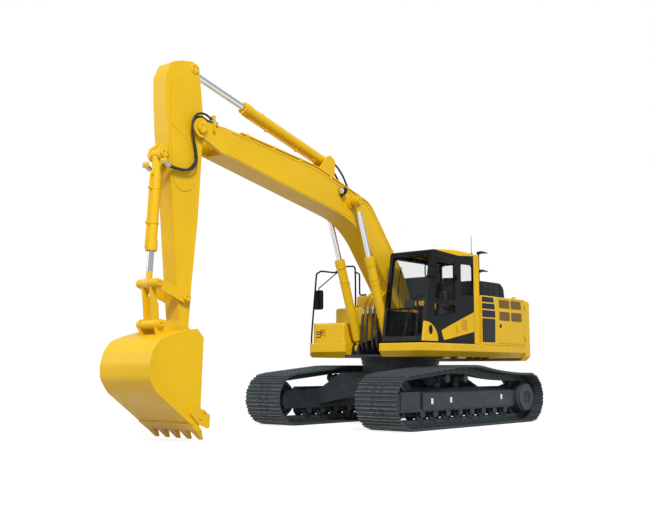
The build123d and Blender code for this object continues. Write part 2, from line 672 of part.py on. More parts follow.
def left_house():
    """The open-bottomed housing behind the cab, with its side open where the door closes it."""
    top, floor = PANEL_TOP, DECK_TOP
    plan = top_form([(-700, DECK_INNER, 0), (-700, HOUSE_HALF_WIDTH, 20),
                     (WEIGHT_FRONT + REST_GAP, HOUSE_HALF_WIDTH, 0), (WEIGHT_FRONT + REST_GAP, BAY_HALF_WIDTH, 0),
                     (BULKHEAD_X, BAY_HALF_WIDTH, 0), (BULKHEAD_X, DECK_INNER, 0)], floor, top)
    room = block((WEIGHT_FRONT - 1, BULKHEAD_X - 20), (BAY_HALF_WIDTH - 1, HOUSE_HALF_WIDTH - PANEL_WALL),
                 (floor - 1, top - PANEL_WALL))
    mouth = block((SIDE_DOOR[1] - DOOR_GAP, SIDE_DOOR[0]), (HOUSE_HALF_WIDTH - PANEL_WALL - 1, HOUSE_HALF_WIDTH + 1),
                  (floor + 30, top - 28))
    rim = plan.edges().filter_by(Axis.X).sort_by(lambda e: e.center().Z + e.center().Y)[-1:]
    body = fillet(rim, 24) - room - mouth
    for low in SIDE_HINGE_LOWS:
        body += upright_hinge(SIDE_HINGE, 1, low)[0]
    return body


def vented_door():
    """The left side door with its four louvred vents."""
    x0, x1 = SIDE_DOOR[1], SIDE_DOOR[0] - DOOR_GAP
    outer = HOUSE_HALF_WIDTH
    door = side_form([(x0, DECK_TOP + 36, 20), (x1, DECK_TOP + 36, 20), (x1, PANEL_TOP - 34, 20),
                      (x0, PANEL_TOP - 34, 20)], outer - PANEL_WALL, outer)
    for front, rear in VENTS:
        for low, high in VENT_ROWS:
            door -= side_form([(rear, low, 16), (front, low, 16), (front, high, 16), (rear, high, 16)],
                              outer - PANEL_WALL - 1, outer + 1)
            for k in range(1, 6):
                z = low + (high - low) * k / 6
                door += block((rear - 2, front + 2), (outer - PANEL_WALL + 4, outer - 8), (z - 5, z + 5))
    for low in SIDE_HINGE_LOWS:
        door += upright_hinge(SIDE_HINGE, 1, low)[1]
    return door


def right_house():
    """The pump room behind the tanks, open at the side where its door closes it."""
    top, floor = PANEL_TOP, DECK_TOP + 30
    body = block((WEIGHT_FRONT + REST_GAP, -655), (BAY_HALF_WIDTH, HOUSE_HALF_WIDTH), (floor, top))
    rim = body.edges().filter_by(Axis.X).sort_by(lambda e: e.center().Z + e.center().Y)[-1:]
    body = fillet(rim, 24)
    body -= block((WEIGHT_FRONT - 1, -700), (BAY_HALF_WIDTH - 1, HOUSE_HALF_WIDTH - PANEL_WALL),
                  (floor - 1, top - PANEL_WALL))
    body -= block((SIDE_DOOR[1] - DOOR_GAP, SIDE_DOOR[0]), (HOUSE_HALF_WIDTH - PANEL_WALL - 1, HOUSE_HALF_WIDTH + 1),
                  (floor + 30, top - 28))
    for low in SIDE_HINGE_LOWS:
        body += upright_hinge(SIDE_HINGE, 1, low)[0]
    return mirrored(body)


def right_door():
    x0, x1 = SIDE_DOOR[1], SIDE_DOOR[0] - DOOR_GAP
    outer = HOUSE_HALF_WIDTH
    door = side_form([(x0, DECK_TOP + 66, 20), (x1, DECK_TOP + 66, 20), (x1, PANEL_TOP - 34, 20),
                      (x0, PANEL_TOP - 34, 20)], outer - PANEL_WALL, outer)
    front, rear = VENTS[1]
    for low, high in VENT_ROWS:
        door -= side_form([(rear, low, 16), (front, low, 16), (front, high, 16), (rear, high, 16)],
                          outer - PANEL_WALL - 1, outer + 1)
        for k in range(1, 6):
            z = low + (high - low) * k / 6
            door += block((rear - 2, front + 2), (outer - PANEL_WALL + 4, outer - 8), (z - 5, z + 5))
    for low in SIDE_HINGE_LOWS:
        door += upright_hinge(SIDE_HINGE, 1, low)[1]
    return mirrored(door)


def engine_bay():
    """The bulkhead behind the boom and the deck plate round the hood's opening."""
    edge = BAY_HALF_WIDTH - REST_GAP
    body = block((BULKHEAD_X - 30, BULKHEAD_X - REST_GAP), (-edge, edge), (DECK_TOP + 30 + REST_GAP, PANEL_TOP))
    body += block((WEIGHT_FRONT + REST_GAP, BULKHEAD_X - 20), (-edge, edge), (PANEL_TOP - 30, PANEL_TOP))
    body -= block((-2230, -1230), (-640, 640), (PANEL_TOP - 31, PANEL_TOP + 1))
    for low in HOOD_HINGE_LOWS:
        body += lying_hinge((HOOD_HINGE[0], HOOD_HINGE[2]), low)[0]
    return body


def engine_hood():
    """The raised lid over the engine: a hollow shell with a sloping, rounded rear and a hump on it."""
    low, high = PANEL_TOP + REST_GAP, HOOD_TOP
    near, far = HOOD_SIDES
    outer = side_form([(-2255, low, 0), (-1150, low, 0), (-1175, high, 40), (-2085, high, 150),
                       (-2205, high - 90, 120)], far, near)
    outer += side_form([(-1990, high - 2, 0), (-1195, high - 2, 0), (-1215, HUMP_TOP, 60), (-1930, HUMP_TOP, 110)],
                       far + 20, -180)
    ends = [f for f in outer.faces().filter_by(Axis.Y) if abs(f.center().Y - near) < 1]
    outer = fillet([e for f in ends for e in f.edges() if e.center().Z > low + 10], 50)
    wall = 28
    inner = side_form([(-2227, low - 1, 0), (-1178, low - 1, 0), (-1203, high - wall, 20),
                       (-2070, high - wall, 120), (-2178, high - 90, 100)], far + wall, near - wall)
    hood = outer - inner
    for low in HOOD_HINGE_LOWS:
        hood += lying_hinge((HOOD_HINGE[0], HOOD_HINGE[2]), low)[1]
    return hood


def engine():
    """The engine as one plain block, on the tail beams."""
    return block((-2120, -1300), (-480, 420), (DECK_TOP + 30 + REST_GAP, 2290))


def radiator():
    """The cooling pack behind the vented door."""
    return block((-2200, -1420), (BAY_HALF_WIDTH + 60, HOUSE_HALF_WIDTH - 265), (DECK_TOP + REST_GAP, 2300))


def pump():
    """The main pump behind the right door."""
    return block((-1900, -1500), (-HOUSE_HALF_WIDTH + 245, -BAY_HALF_WIDTH - 40),
                 (DECK_TOP + 30 + REST_GAP, 1990))


def step_box():
    """The first step of the right side: a tool box with a rounded outer corner."""
    body = top_form([(486, DECK_INNER + 45, 0), (1120, DECK_INNER + 45, 30), (1120, HOUSE_HALF_WIDTH - 20, 300),
                     (486, HOUSE_HALF_WIDTH - 20, 0)], DECK_TOP + 30, 1890)
    top = body.faces().sort_by(Axis.Z)[-1]
    body = fillet([e for e in top.edges() if e.center().X > 487], 40)
    for k in range(3):
        z = 1640 + k * 52
        body -= block((1100, 1130), (HOUSE_HALF_WIDTH - 410, HOUSE_HALF_WIDTH - 340), (z, z + 26))
        body -= block((1100, 1130), (HOUSE_HALF_WIDTH - 500, HOUSE_HALF_WIDTH - 425), (z, z + 26))
    return mirrored(body)


def tank(front, rear, top, outer):
    """One of the two tanks on the right deck, as a box with rounded upper edges."""
    body = block((rear, front), (DECK_INNER + 90, outer), (DECK_TOP + 30, top))
    edges = body.faces().sort_by(Axis.Z)[-1].edges()
    return mirrored(fillet(edges, 45))


def valve_cover():
    """The sloping cover between the boom's foot and the bulkhead."""
    half = BRACKET_INNER - 4
    return side_form([(BULKHEAD_X + REST_GAP, 1286, 0), (BULKHEAD_X + REST_GAP, 2140, 40), (-820, 2140, 120),
                      (-560, 1700, 60), (-560, 1286, 0)], -half, half)


parts["left_house"] = left_house()
parts["left_side_door"] = vented_door()
parts["right_house"] = right_house()
parts["right_side_door"] = right_door()
parts["engine_bay"] = engine_bay()
parts["engine_hood"] = engine_hood()
parts["engine"] = engine()
parts["radiator"] = radiator()
parts["pump"] = pump()
parts["step_box"] = step_box()
parts["fuel_tank"] = tank(485, TANK_SPLIT + 1, FUEL_TOP, HOUSE_HALF_WIDTH - 215)
parts["hydraulic_tank"] = tank(TANK_SPLIT, -640, OIL_TOP, HOUSE_HALF_WIDTH - 275)
parts["valve_cover"] = valve_cover()


# Cab

def cab_front_x(z):
    """Where the leaning windscreen plane is at a height."""
    return CAB_FRONT + (CAB_BROW - CAB_FRONT) * (z - CAB_BOTTOM - 60) / (CAB_ROOF - CAB_BOTTOM - 60)


def cab_outline(inset_by):
    z0, z1 = CAB_BOTTOM + inset_by, CAB_ROOF - inset_by
    return [(CAB_REAR + inset_by, z0, 0), (cab_front_x(CAB_BOTTOM) - inset_by, z0, 20),
            (cab_front_x(CAB_BOTTOM + 60) - inset_by, CAB_BOTTOM + 60 + inset_by, 20),
            (CAB_BROW - inset_by, z1 - 20, 70 - inset_by / 2), (CROWN_X, CAB_CROWN - inset_by, 2600),
            (CAB_REAR + inset_by, z1 + 8, 50 - inset_by / 2)]


DOOR_OUTLINE = [(DOOR_HINGE_X + 4, CAB_BOTTOM + 52, 20), (742, CAB_BOTTOM + 52, 20), (862, 1870, 120),
                (880, 2300, 400), (812, 2985, 60), (DOOR_HINGE_X + 4, 3000, 40)]
DOOR_UPPER = [(160, 2268, 40), (838, 2268, 40), (778, 2930, 60), (160, 2945, 50)]
DOOR_LOWER = [(160, 2050, 30), (822, 1905, 60), (836, 2185, 40), (160, 2185, 40)]
SIDE_WINDOW = [(-50, 2378, 30), (-50, 2962, 40), (-480, 2968, 60), (-480, 2386, 60)]
SCREEN = [(CAB_RIGHT + 62, 1600, 40), (CAB_LEFT - 62, 1600, 40), (CAB_LEFT - 62, 3060, 60),
          (CAB_RIGHT + 62, 3060, 60)]
REAR_WINDOW = [(CAB_RIGHT + 90, 2330, 50), (CAB_LEFT - 90, 2330, 50), (CAB_LEFT - 90, 3030, 50),
               (CAB_RIGHT + 90, 3030, 50)]
RIGHT_WINDOW = [(-590, 2080, 50), (cab_front_x(2080) - 110, 2080, 60), (cab_front_x(3030) - 110, 3030, 60),
                (-590, 3030, 60)]
DOOR_GRILLE = (-236, -60)
SCREEN_BAR = 2090


def pane(rows):
    """A window's outline drawn in by the gap that its pane keeps from the frame."""
    middle = (sum(row[0] for row in rows) / len(rows), sum(row[1] for row in rows) / len(rows))
    return [(a + (REST_GAP if a < middle[0] else -REST_GAP), b + (REST_GAP if b < middle[1] else -REST_GAP), r)
            for a, b, r in rows]


def cab_shell():
    """The hollow cab: floor, roof and walls in one, with its door and windows cut out."""
    body = side_form(cab_outline(0), CAB_RIGHT, CAB_LEFT)
    body = body & front_form([(CAB_RIGHT, CAB_BOTTOM - 1, 0), (CAB_LEFT, CAB_BOTTOM - 1, 0),
                              (CAB_LEFT, CAB_CROWN + 1, 60), (CAB_RIGHT, CAB_CROWN + 1, 60)],
                             CAB_REAR - 1, 1300)
    body -= side_form(cab_outline(CAB_WALL), CAB_RIGHT + CAB_WALL, CAB_LEFT - CAB_WALL)
    body -= front_form(SCREEN, 700, CAB_FRONT + 40)
    body -= front_form(REAR_WINDOW, CAB_REAR - 5, CAB_REAR + CAB_WALL + 5)
    body -= side_form(RIGHT_WINDOW, CAB_RIGHT - 5, CAB_RIGHT + CAB_WALL + 5)
    grow = DOOR_GAP
    door = [(DOOR_HINGE_X + 4 - grow, CAB_BOTTOM + 52 - grow, 20), (742 + grow, CAB_BOTTOM + 52 - grow, 20),
            (862 + grow, 1870, 120), (880 + grow, 2300, 400), (812 + grow, 2985 + grow, 60),
            (DOOR_HINGE_X + 4 - grow, 3000 + grow, 40)]
    body -= side_form(door, CAB_LEFT - CAB_WALL - 5, CAB_LEFT + 5)
    body -= side_form(SIDE_WINDOW, CAB_LEFT - CAB_WALL - 5, CAB_LEFT + 5)
    body += block((cab_front_x(SCREEN_BAR) - CAB_WALL, cab_front_x(SCREEN_BAR) - 4), (CAB_RIGHT + 50, CAB_LEFT - 50),
                  (SCREEN_BAR - 16, SCREEN_BAR + 16))
    for z in range(1730, 1920, 30):
        body -= block((DOOR_GRILLE[0], DOOR_GRILLE[1]), (CAB_LEFT - 14, CAB_LEFT + 1), (z, z + 14))
    for x in (CAB_REAR + 110, 980):
        for y in (CAB_RIGHT + 110, CAB_LEFT - 110):
            body += post((x, y), 48, DECK_TOP + REST_GAP, CAB_BOTTOM + 5)
    for low in CAB_HINGE_LOWS:
        body += upright_hinge(CAB_HINGE, 1, low)[0]
    return body


def cab_door():
    """The door's frame, with an upper and a lower window, and its two hinge knuckles."""
    body = side_form(DOOR_OUTLINE, CAB_LEFT - DOOR_THICKNESS, CAB_LEFT)
    for window in (DOOR_UPPER, DOOR_LOWER):
        body -= side_form(window, CAB_LEFT - DOOR_THICKNESS - 1, CAB_LEFT + 1)
    body -= side_form([(700, 2208, 6), (800, 2208, 6), (800, 2246, 6), (700, 2246, 6)], CAB_LEFT - 12, CAB_LEFT + 1)
    body += block((690, 790), (CAB_LEFT - 13, CAB_LEFT - 2), (2222, 2234))
    for low in CAB_HINGE_LOWS:
        body += upright_hinge(CAB_HINGE, 1, low)[1]
    return body


def cab_glass():
    """The fixed panes: windscreen, rear, right and left rear, each inside its opening."""
    inset_by = 6
    depth = CAB_WALL / 2
    lean = [(cab_front_x(1600 + inset_by) - depth, 1600 + inset_by, 0),
            (cab_front_x(3060 - inset_by) - depth, 3060 - inset_by, 0),
            (cab_front_x(3060 - inset_by) - depth - GLASS, 3060 - inset_by, 0),
            (cab_front_x(1600 + inset_by) - depth - GLASS, 1600 + inset_by, 0)]
    whole = side_form(lean, CAB_RIGHT + 62, CAB_LEFT - 62) & front_form(pane(SCREEN), 700, CAB_FRONT + 40)
    screens = [whole & block((600, 1300), (CAB_RIGHT, CAB_LEFT), (1500, SCREEN_BAR - 16 - REST_GAP)),
               whole & block((600, 1300), (CAB_RIGHT, CAB_LEFT), (SCREEN_BAR + 16 + REST_GAP, 3200))]
    rear = front_form(pane(REAR_WINDOW), CAB_REAR + depth, CAB_REAR + depth + GLASS)
    right = side_form(pane(RIGHT_WINDOW), CAB_RIGHT + depth, CAB_RIGHT + depth + GLASS)
    left = side_form(pane(SIDE_WINDOW), CAB_LEFT - depth - GLASS, CAB_LEFT - depth)
    return Compound(screens + [rear, right, left])


def door_glass():
    """The door's two panes."""
    middle = CAB_LEFT - DOOR_THICKNESS / 2
    return Compound([side_form(pane(window), middle - GLASS / 2, middle + GLASS / 2)
                     for window in (DOOR_UPPER, DOOR_LOWER)])


def seat():
    """The operator's seat: cushion, back and head rest in one."""
    floor = CAB_BOTTOM + CAB_WALL + REST_GAP
    middle = (CAB_LEFT + CAB_RIGHT) / 2
    side = side_form([(-330, floor, 0), (100, floor, 0), (100, 1860, 20), (190, 1880, 40), (190, 1990, 50),
                      (-230, 1990, 30), (-330, 2560, 50), (-340, 2790, 40), (-430, 2790, 40), (-400, 1870, 60),
                      (-330, 1860, 20)], middle - 250, middle + 250)
    return side


def consoles():
    """The two arm consoles with their levers, and the travel pedals' block."""
    floor = CAB_BOTTOM + CAB_WALL + REST_GAP
    middle = (CAB_LEFT + CAB_RIGHT) / 2
    shapes = []
    for side in (-1, 1):
        low, high = sorted((middle + side * 262, middle + side * 372))
        box = side_form([(-300, floor, 0), (60, floor, 0), (120, 2100, 30), (300, 2130, 40), (300, 2210, 40),
                         (-300, 2170, 40)], low, high)
        lever = middle + side * 317
        box += bar((240, lever, 2190), (270, lever, 2380), 22)
        shapes.append(box)
    pedals = block((520, 760), (middle - 160, middle + 160), (floor, floor + 60))
    pedals += bar((640, middle - 90, floor + 50), (560, middle - 90, floor + 520), 14)
    pedals += bar((640, middle + 90, floor + 50), (560, middle + 90, floor + 520), 14)
    shapes.append(pedals)
    return Compound(shapes)


parts["cab_shell"] = cab_shell()
parts["cab_glass"] = cab_glass()
parts["cab_door"] = cab_door()
parts["cab_door_glass"] = door_glass()
parts["seat"] = seat()
parts["consoles"] = consoles()


# Handrails, mirrors, and what stands behind the cab

RAIL_RADIUS_TUBE = 17
RAIL_FOOT_Y = -HOUSE_HALF_WIDTH + 77
MIRROR_RIGHT = (905, -1300, 2365)
MIRROR_LEFT = (960, CAB_LEFT + 110, 2700)


def handrail():
    """The rail from the deck's front corner, over the steps, to the tanks, and the mirror's stay."""
    floor, y = DECK_TOP + 30 + REST_GAP, RAIL_FOOT_Y
    rail = tube([(1062, y, floor), (1062, y, 1640), (1040, y + 3, 1890), (940, y + 18, 2880),
                 (840, y + 48, 2940), (480, y + 98, 2935), (250, y + 198, 3070), (130, y + 338, 3080),
                 (130, y + 348, 2800), (130, y + 348, FUEL_TOP + REST_GAP)], RAIL_RADIUS_TUBE, 60)
    rail += tube([(130, y + 348, 2957), (-120, y + 253, 2945), (-120, y + 253, OIL_TOP + RAIL_RADIUS_TUBE + REST_GAP),
                  (-120, y + 420, OIL_TOP + RAIL_RADIUS_TUBE + REST_GAP)], RAIL_RADIUS_TUBE, 50)
    x, y, z = MIRROR_RIGHT
    top = z + 190 + REST_GAP
    return rail + tube([(x, y, top), (x, y, top + 40), (360, RAIL_FOOT_Y + 152, 3000)], 11, 30)


def mirror(place, height, width):
    """A mirror's head, its edges rounded, which looks to the rear."""
    x, y, z = place
    head = block((x - 22, x + 22), (y - width / 2, y + width / 2), (z - height / 2, z + height / 2))
    return fillet(head.edges().filter_by(Axis.X), 36)


def mirror_left():
    """The cab's mirror on a looped bracket at the front pillar."""
    x, y, z = MIRROR_LEFT
    foot, reach = CAB_LEFT + REST_GAP, CAB_LEFT + 42
    loop = tube([(906, foot, z + 140), (906, reach, z + 140), (1170, reach, z + 140), (1170, reach, z - 60),
                 (906, reach, z - 60), (906, foot, z - 60)], 11, 30)
    return loop + mirror(MIRROR_LEFT, 330, 150)


def antenna():
    """The whip antenna on the cab's roof."""
    x, y = -545, CAB_LEFT - 70
    roof = CAB_CROWN + (CAB_ROOF + 8 - CAB_CROWN) * (CROWN_X - x - 20) / (CROWN_X - CAB_REAR)
    return post((x, y), 20, roof + REST_GAP, CAB_ROOF + 46) + post((x, y), 5, CAB_ROOF + 45, CAB_ROOF + 370)


def rear_post():
    """The tall post behind the cab with its two tapering arms."""
    x, y = -800, CAB_LEFT - 70
    body = post((x, y), 15, PANEL_TOP + REST_GAP, 3250)
    body += post((x, y), 40, PANEL_TOP + REST_GAP, PANEL_TOP + 14)
    for z in (3250, 2892):
        body += side_form([(x - 16, z - 34, 0), (x + 16, z - 34, 0), (x + 16, z + 10, 20), (x - 60, z + 36, 40),
                           (x - 294, z + 22, 6), (x - 290, z + 8, 6), (x - 90, z - 6, 60)], y - 34, y + 34)
    return body


parts["handrail"] = handrail()
parts["mirror_left"] = mirror_left()
parts["mirror_right"] = mirror(MIRROR_RIGHT, 380, 200)
parts["antenna"] = antenna()
parts["rear_post"] = rear_post()


# Boom

FOOT_BOSS = 172
TIP_BOSS = 150
BOOM_TOP_LINE = [(-94, 144, 0), (750, 734, 500), (2149, 1337, 500), (3647, 1063, 1400),
                 (BOOM_LENGTH - 403, 317, 0)]
PIPE_RADIUS = 16
PIPE_LIFT = 36
PIPE_LINES = (174, 208)
PIPE_ENDS = (0.45, 0.84)
CLAMPS = ((0, 0.8), (1, 0.3), (1, 0.7), (2, 0.25), (2, 0.75), (3, 0.2), (3, 0.5), (3, 0.78))
LAMP_PLACE = (2075, 300, 4170)


def boom():
    """The boom: a deep box that bends at its middle, a boss at its foot and a fork at its tip."""
    rows = BOOM_TOP_LINE + [(BOOM_LENGTH + 20, 120, 0), (BOOM_LENGTH + 20, -120, 0),
                            (BOOM_LENGTH - 510, -84, 200), (2294, 835, 1500), (955, 257, 300), (677, 85, 300),
                            (108, -140, 0)]
    half = BOOM_HALF_WIDTH
    body = side_form(placed(rows, BOOM_FOOT, BOOM_ANGLE), -half, half)
    body += pin(BOOM_FOOT, FOOT_BOSS, -BRACKET_INNER + SIDE_GAP, BRACKET_INNER - SIDE_GAP)
    body += pin(BOOM_TIP, TIP_BOSS, -half - 12, half + 12)
    slot = ARM_HALF_WIDTH + SIDE_GAP
    rows = [(BOOM_LENGTH - BOOM_SLOT_DEPTH, -400, 0), (BOOM_LENGTH - BOOM_SLOT_DEPTH, 700, 0),
            (BOOM_LENGTH + 400, 700, 0), (BOOM_LENGTH + 400, -400, 0)]
    body -= side_form(placed(rows, BOOM_FOOT, BOOM_ANGLE), -slot, slot)
    body += pin(BOOM_TIP, TIP_PIN_RADIUS, -half - 12, half + 12)
    body -= pin(BOOM_FOOT, FOOT_PIN_RADIUS + PIN_FIT, -400, 400)
    for side in (-1, 1):
        low, high = sorted((side * (half - 5), side * (BRACKET_OUTER - 38)))
        body += pin(BOOM_ROD_PIN, 130, low, high)
        low, high = sorted((side * (ARM_BARREL + SIDE_GAP), side * 150))
        ear = [(ARM_CYLINDER_FOOT[0] - 330, ARM_CYLINDER_FOOT[1] - 520, 0),
               (ARM_CYLINDER_FOOT[0] - 95, ARM_CYLINDER_FOOT[1] + 85, 80),
               (ARM_CYLINDER_FOOT[0] + 95, ARM_CYLINDER_FOOT[1] + 85, 80),
               (ARM_CYLINDER_FOOT[0] + 230, ARM_CYLINDER_FOOT[1] - 520, 0)]
        body += side_form(placed(ear, BOOM_FOOT, BOOM_ANGLE), low, high)
    body += pin(ARM_BASE_PIN, 48, -150, 150)
    return body


def between(a, b, share):
    return tuple(a[k] + (b[k] - a[k]) * share for k in range(2))


def boom_pipes():
    """The steel pipes along both edges of the boom's top, held by clamps that stand on its plate."""
    first = (*between(BOOM_TOP_LINE[0], BOOM_TOP_LINE[1], PIPE_ENDS[0]), 0)
    last = (*between(BOOM_TOP_LINE[3], BOOM_TOP_LINE[4], PIPE_ENDS[1]), 0)
    line = placed(beside([first] + BOOM_TOP_LINE[1:4] + [last], PIPE_LIFT), BOOM_FOOT, BOOM_ANGLE)
    sides = []
    for side in (-1, 1):
        group = Part()
        for y in PIPE_LINES:
            group += tube([(x, side * y, z) for x, z, r in line], PIPE_RADIUS, [r for x, z, r in line])
        low, high = sorted((side * (PIPE_LINES[0] - 18), side * (PIPE_LINES[1] + 18)))
        for i, share in CLAMPS:
            start, end = BOOM_TOP_LINE[i], BOOM_TOP_LINE[i + 1]
            foot = along(BOOM_FOOT, BOOM_ANGLE, between(start, end, share))
            rows = [(-24, REST_GAP, 0), (24, REST_GAP, 0), (24, PIPE_LIFT + 19, 6), (-24, PIPE_LIFT + 19, 6)]
            group += side_form(placed(rows, foot, BOOM_ANGLE + direction(start, end)), low, high)
        sides.append(group)
    return Compound([solid for group in sides for solid in group.solids()])


def work_lamp():
    """The lamp on the boom's left side, in a round case on a bracket."""
    x, y, z = LAMP_PLACE
    case = bar((x - 45, y, z), (x + 45, y, z - 12), 60)
    case += bar((x - 75, y, z + 4), (x - 40, y, z), 38)
    case += block((x - 60, x - 20), (BOOM_HALF_WIDTH + REST_GAP, y), (z - 74, z - 50))
    return case + block((x - 60, x - 20), (BOOM_HALF_WIDTH + REST_GAP, BOOM_HALF_WIDTH + 12), (z - 110, z - 30))


parts["boom"] = boom()
parts["boom_pipes"] = boom_pipes()
parts["work_lamp"] = work_lamp()


# Arm

def arm():
    """The arm: a tapering box, forked at its top for the cylinder's rod."""
    end = ARM_LENGTH
    rows = [(-909, 60, 60), (-1010, 190, 80), (-960, 400, 60), (-880, 600, 120), (-640, 690, 160),
            (-255, 649, 500), (187, 583, 300), (943, 432, 300), (end - 660, 170, 600), (end - 210, 84, 80),
            (end, 84, 60), (end, -100, 60), (end - 740, -96, 300), (end - 1740, -125, 900), (-103, -104, 200)]
    half = ARM_HALF_WIDTH
    body = side_form(placed(rows, BOOM_TIP, ARM_ANGLE), -half, half)
    body += pin(BUCKET_PIN, ARM_TIP_BOSS, -half, half)
    slot = ARM_EYE_RADIUS / 2 + 12 + SIDE_GAP
    hollow = [(-1200, -300, 0), (-1200, 520, 0), (-1000, 520, 0), (-740, 470, 100), (-560, 280, 120),
              (-560, -300, 0)]
    body -= side_form(placed(hollow, BOOM_TIP, ARM_ANGLE), -slot, slot)
    body -= pin(BOOM_TIP, TIP_PIN_RADIUS + PIN_FIT, -half - 1, half + 1)
    body -= pin(BUCKET_PIN, BUCKET_PIN_RADIUS + PIN_FIT, -half - 1, half + 1)
    for side in (-1, 1):
        low, high = sorted((side * (BUCKET_BARREL + SIDE_GAP), side * (half - 16)))
        ear = [(BUCKET_CYLINDER_FOOT[0] - 260, BUCKET_CYLINDER_FOOT[1] - 160, 0),
               (BUCKET_CYLINDER_FOOT[0] - 85, BUCKET_CYLINDER_FOOT[1] + 75, 70),
               (BUCKET_CYLINDER_FOOT[0] + 85, BUCKET_CYLINDER_FOOT[1] + 75, 70),
               (BUCKET_CYLINDER_FOOT[0] + 150, BUCKET_CYLINDER_FOOT[1] - 230, 0)]
        body += side_form(placed(ear, BOOM_TIP, ARM_ANGLE), low, high)
        low, high = sorted((side * (half - 2), side * (half + 60)))
        body += pin(SIDE_PIN, 48, low, high)
    body += pin(BUCKET_BASE_PIN, 44, -half + 16, half - 16)
    return body


parts["arm"] = arm()


# Cylinders

def barrel(base, eye, length, radius, eye_radius, pin_radius, y, half, neck, bore):
    """A barrel from its base eye, over its neck, to its gland, open towards the rod."""
    angle = direction(base, eye)
    c, s = cos(radians(angle)), sin(radians(angle))

    def point(d):
        return (base[0] + c * d, y, base[1] + s * d)

    body = bar(point(neck), point(length), radius)
    body += bar(point(eye_radius * 0.6), point(neck + 1), min(half, radius))
    body += bar(point(length - 150), point(length), radius + 12)
    body += bar(point(length - 420), point(length - 395), radius + 9)
    body += pin(base, eye_radius, y - half, y + half)
    body -= bar(point(neck + 80), point(length + 1), radius - 20)
    gland = bar(point(length - 90), point(length), radius - 10) - bar(
        point(length - 91), point(length + 1), bore + PIN_FIT)
    body += gland
    body -= pin(base, pin_radius + PIN_FIT, y - half - 1, y + half + 1)
    return body


def rod(base, eye, inside, radius, eye_radius, y, half, piston):
    """A rod from its piston, which starts at a distance inside the barrel, to its eye."""
    angle = direction(base, eye)
    c, s = cos(radians(angle)), sin(radians(angle))
    span = distance(base, eye)

    def point(d):
        return (base[0] + c * d, y, base[1] + s * d)

    body = bar(point(inside), point(span - eye_radius * 0.5), radius)
    body += bar(point(inside), point(inside + 60), piston)
    body += pin(eye, eye_radius, y - half, y + half)
    return body


EYE_HALF = (EYE_OUTER - EYE_INNER) / 2
for side, y in (("left", BOOM_CYLINDER_Y), ("right", -BOOM_CYLINDER_Y)):
    parts[f"boom_barrel_{side}"] = barrel(CYLINDER_BASE, BOOM_ROD_PIN, BOOM_CYLINDER_HEAD, BOOM_BARREL,
                                          BOOM_EYE_RADIUS, FOOT_PIN_RADIUS - 8, y, EYE_HALF, NECK_LENGTH,
                                          BOOM_ROD)
    shape = rod(CYLINDER_BASE, BOOM_ROD_PIN, BOOM_PISTON, BOOM_ROD, BOOM_EYE_RADIUS, y, EYE_HALF,
                BOOM_BARREL - 24)
    outward = 1 if y > 0 else -1
    low, high = sorted((outward * EYE_OUTER, outward * (EYE_OUTER + 34)))
    shape += pin(BOOM_ROD_PIN, 62, low - 1, high + 1)
    low, high = sorted((outward * (BRACKET_OUTER - 32), outward * (EYE_INNER + 1)))
    shape += pin(BOOM_ROD_PIN, 66, low, high)
    parts[f"boom_rod_{side}"] = shape

parts["arm_barrel"] = barrel(ARM_BASE_PIN, ARM_ROD_PIN, ARM_CYLINDER_HEAD, ARM_BARREL, ARM_EYE_RADIUS, 48, 0,
                             ARM_BARREL, 0.6 * ARM_BARREL, ARM_ROD)
parts["arm_rod"] = rod(ARM_BASE_PIN, ARM_ROD_PIN, ARM_PISTON, ARM_ROD, ARM_EYE_RADIUS, 0,
                       ARM_EYE_RADIUS / 2 + 12, ARM_BARREL - 24)
parts["bucket_barrel"] = barrel(BUCKET_BASE_PIN, UPPER_LINK_PIN, BUCKET_CYLINDER_HEAD, BUCKET_BARREL,
                                BUCKET_EYE_RADIUS, 44, 0, BUCKET_BARREL, 0.6 * BUCKET_BARREL, BUCKET_ROD)
parts["bucket_rod"] = rod(BUCKET_BASE_PIN, UPPER_LINK_PIN, BUCKET_PISTON, BUCKET_ROD,
                          BUCKET_EYE_RADIUS, 0, 62, BUCKET_BARREL - 24)


# Bucket linkage

LINK_INNER = ARM_HALF_WIDTH + SIDE_GAP
LINK_OUTER = LINK_INNER + 44
LINK_CHEEK = 104
ROD_SLOT = 70


def link_form(start, end, start_radius, end_radius, low, high):
    """A flat link with round ends."""
    a = radians(direction(start, end) + 90)
    rows = []
    for place, radius in ((start, start_radius), (end, end_radius)):
        rows.append(((place[0] + cos(a) * radius, place[1] + sin(a) * radius, 0),
                     (place[0] - cos(a) * radius, place[1] - sin(a) * radius, 0)))
    web = side_form([rows[0][0], rows[1][0], rows[1][1], rows[0][1]], low, high)
    return web + pin(start, start_radius, low, high) + pin(end, end_radius, low, high)


def side_links():
    """The two links outside the arm, and the studs that carry the cylinder's rod between them."""
    links = []
    for side in (-1, 1):
        low, high = sorted((side * LINK_INNER, side * LINK_OUTER))
        link = link_form(SIDE_PIN, UPPER_LINK_PIN, 86, 66, low, high)
        link -= pin(SIDE_PIN, 48 + PIN_FIT, low - 1, high + 1)
        low, high = sorted((side * (LINK_OUTER - 1), side * (LINK_OUTER + 22)))
        link += pin(UPPER_LINK_PIN, 58, low, high)
        links.append(link)
    return Compound(links)


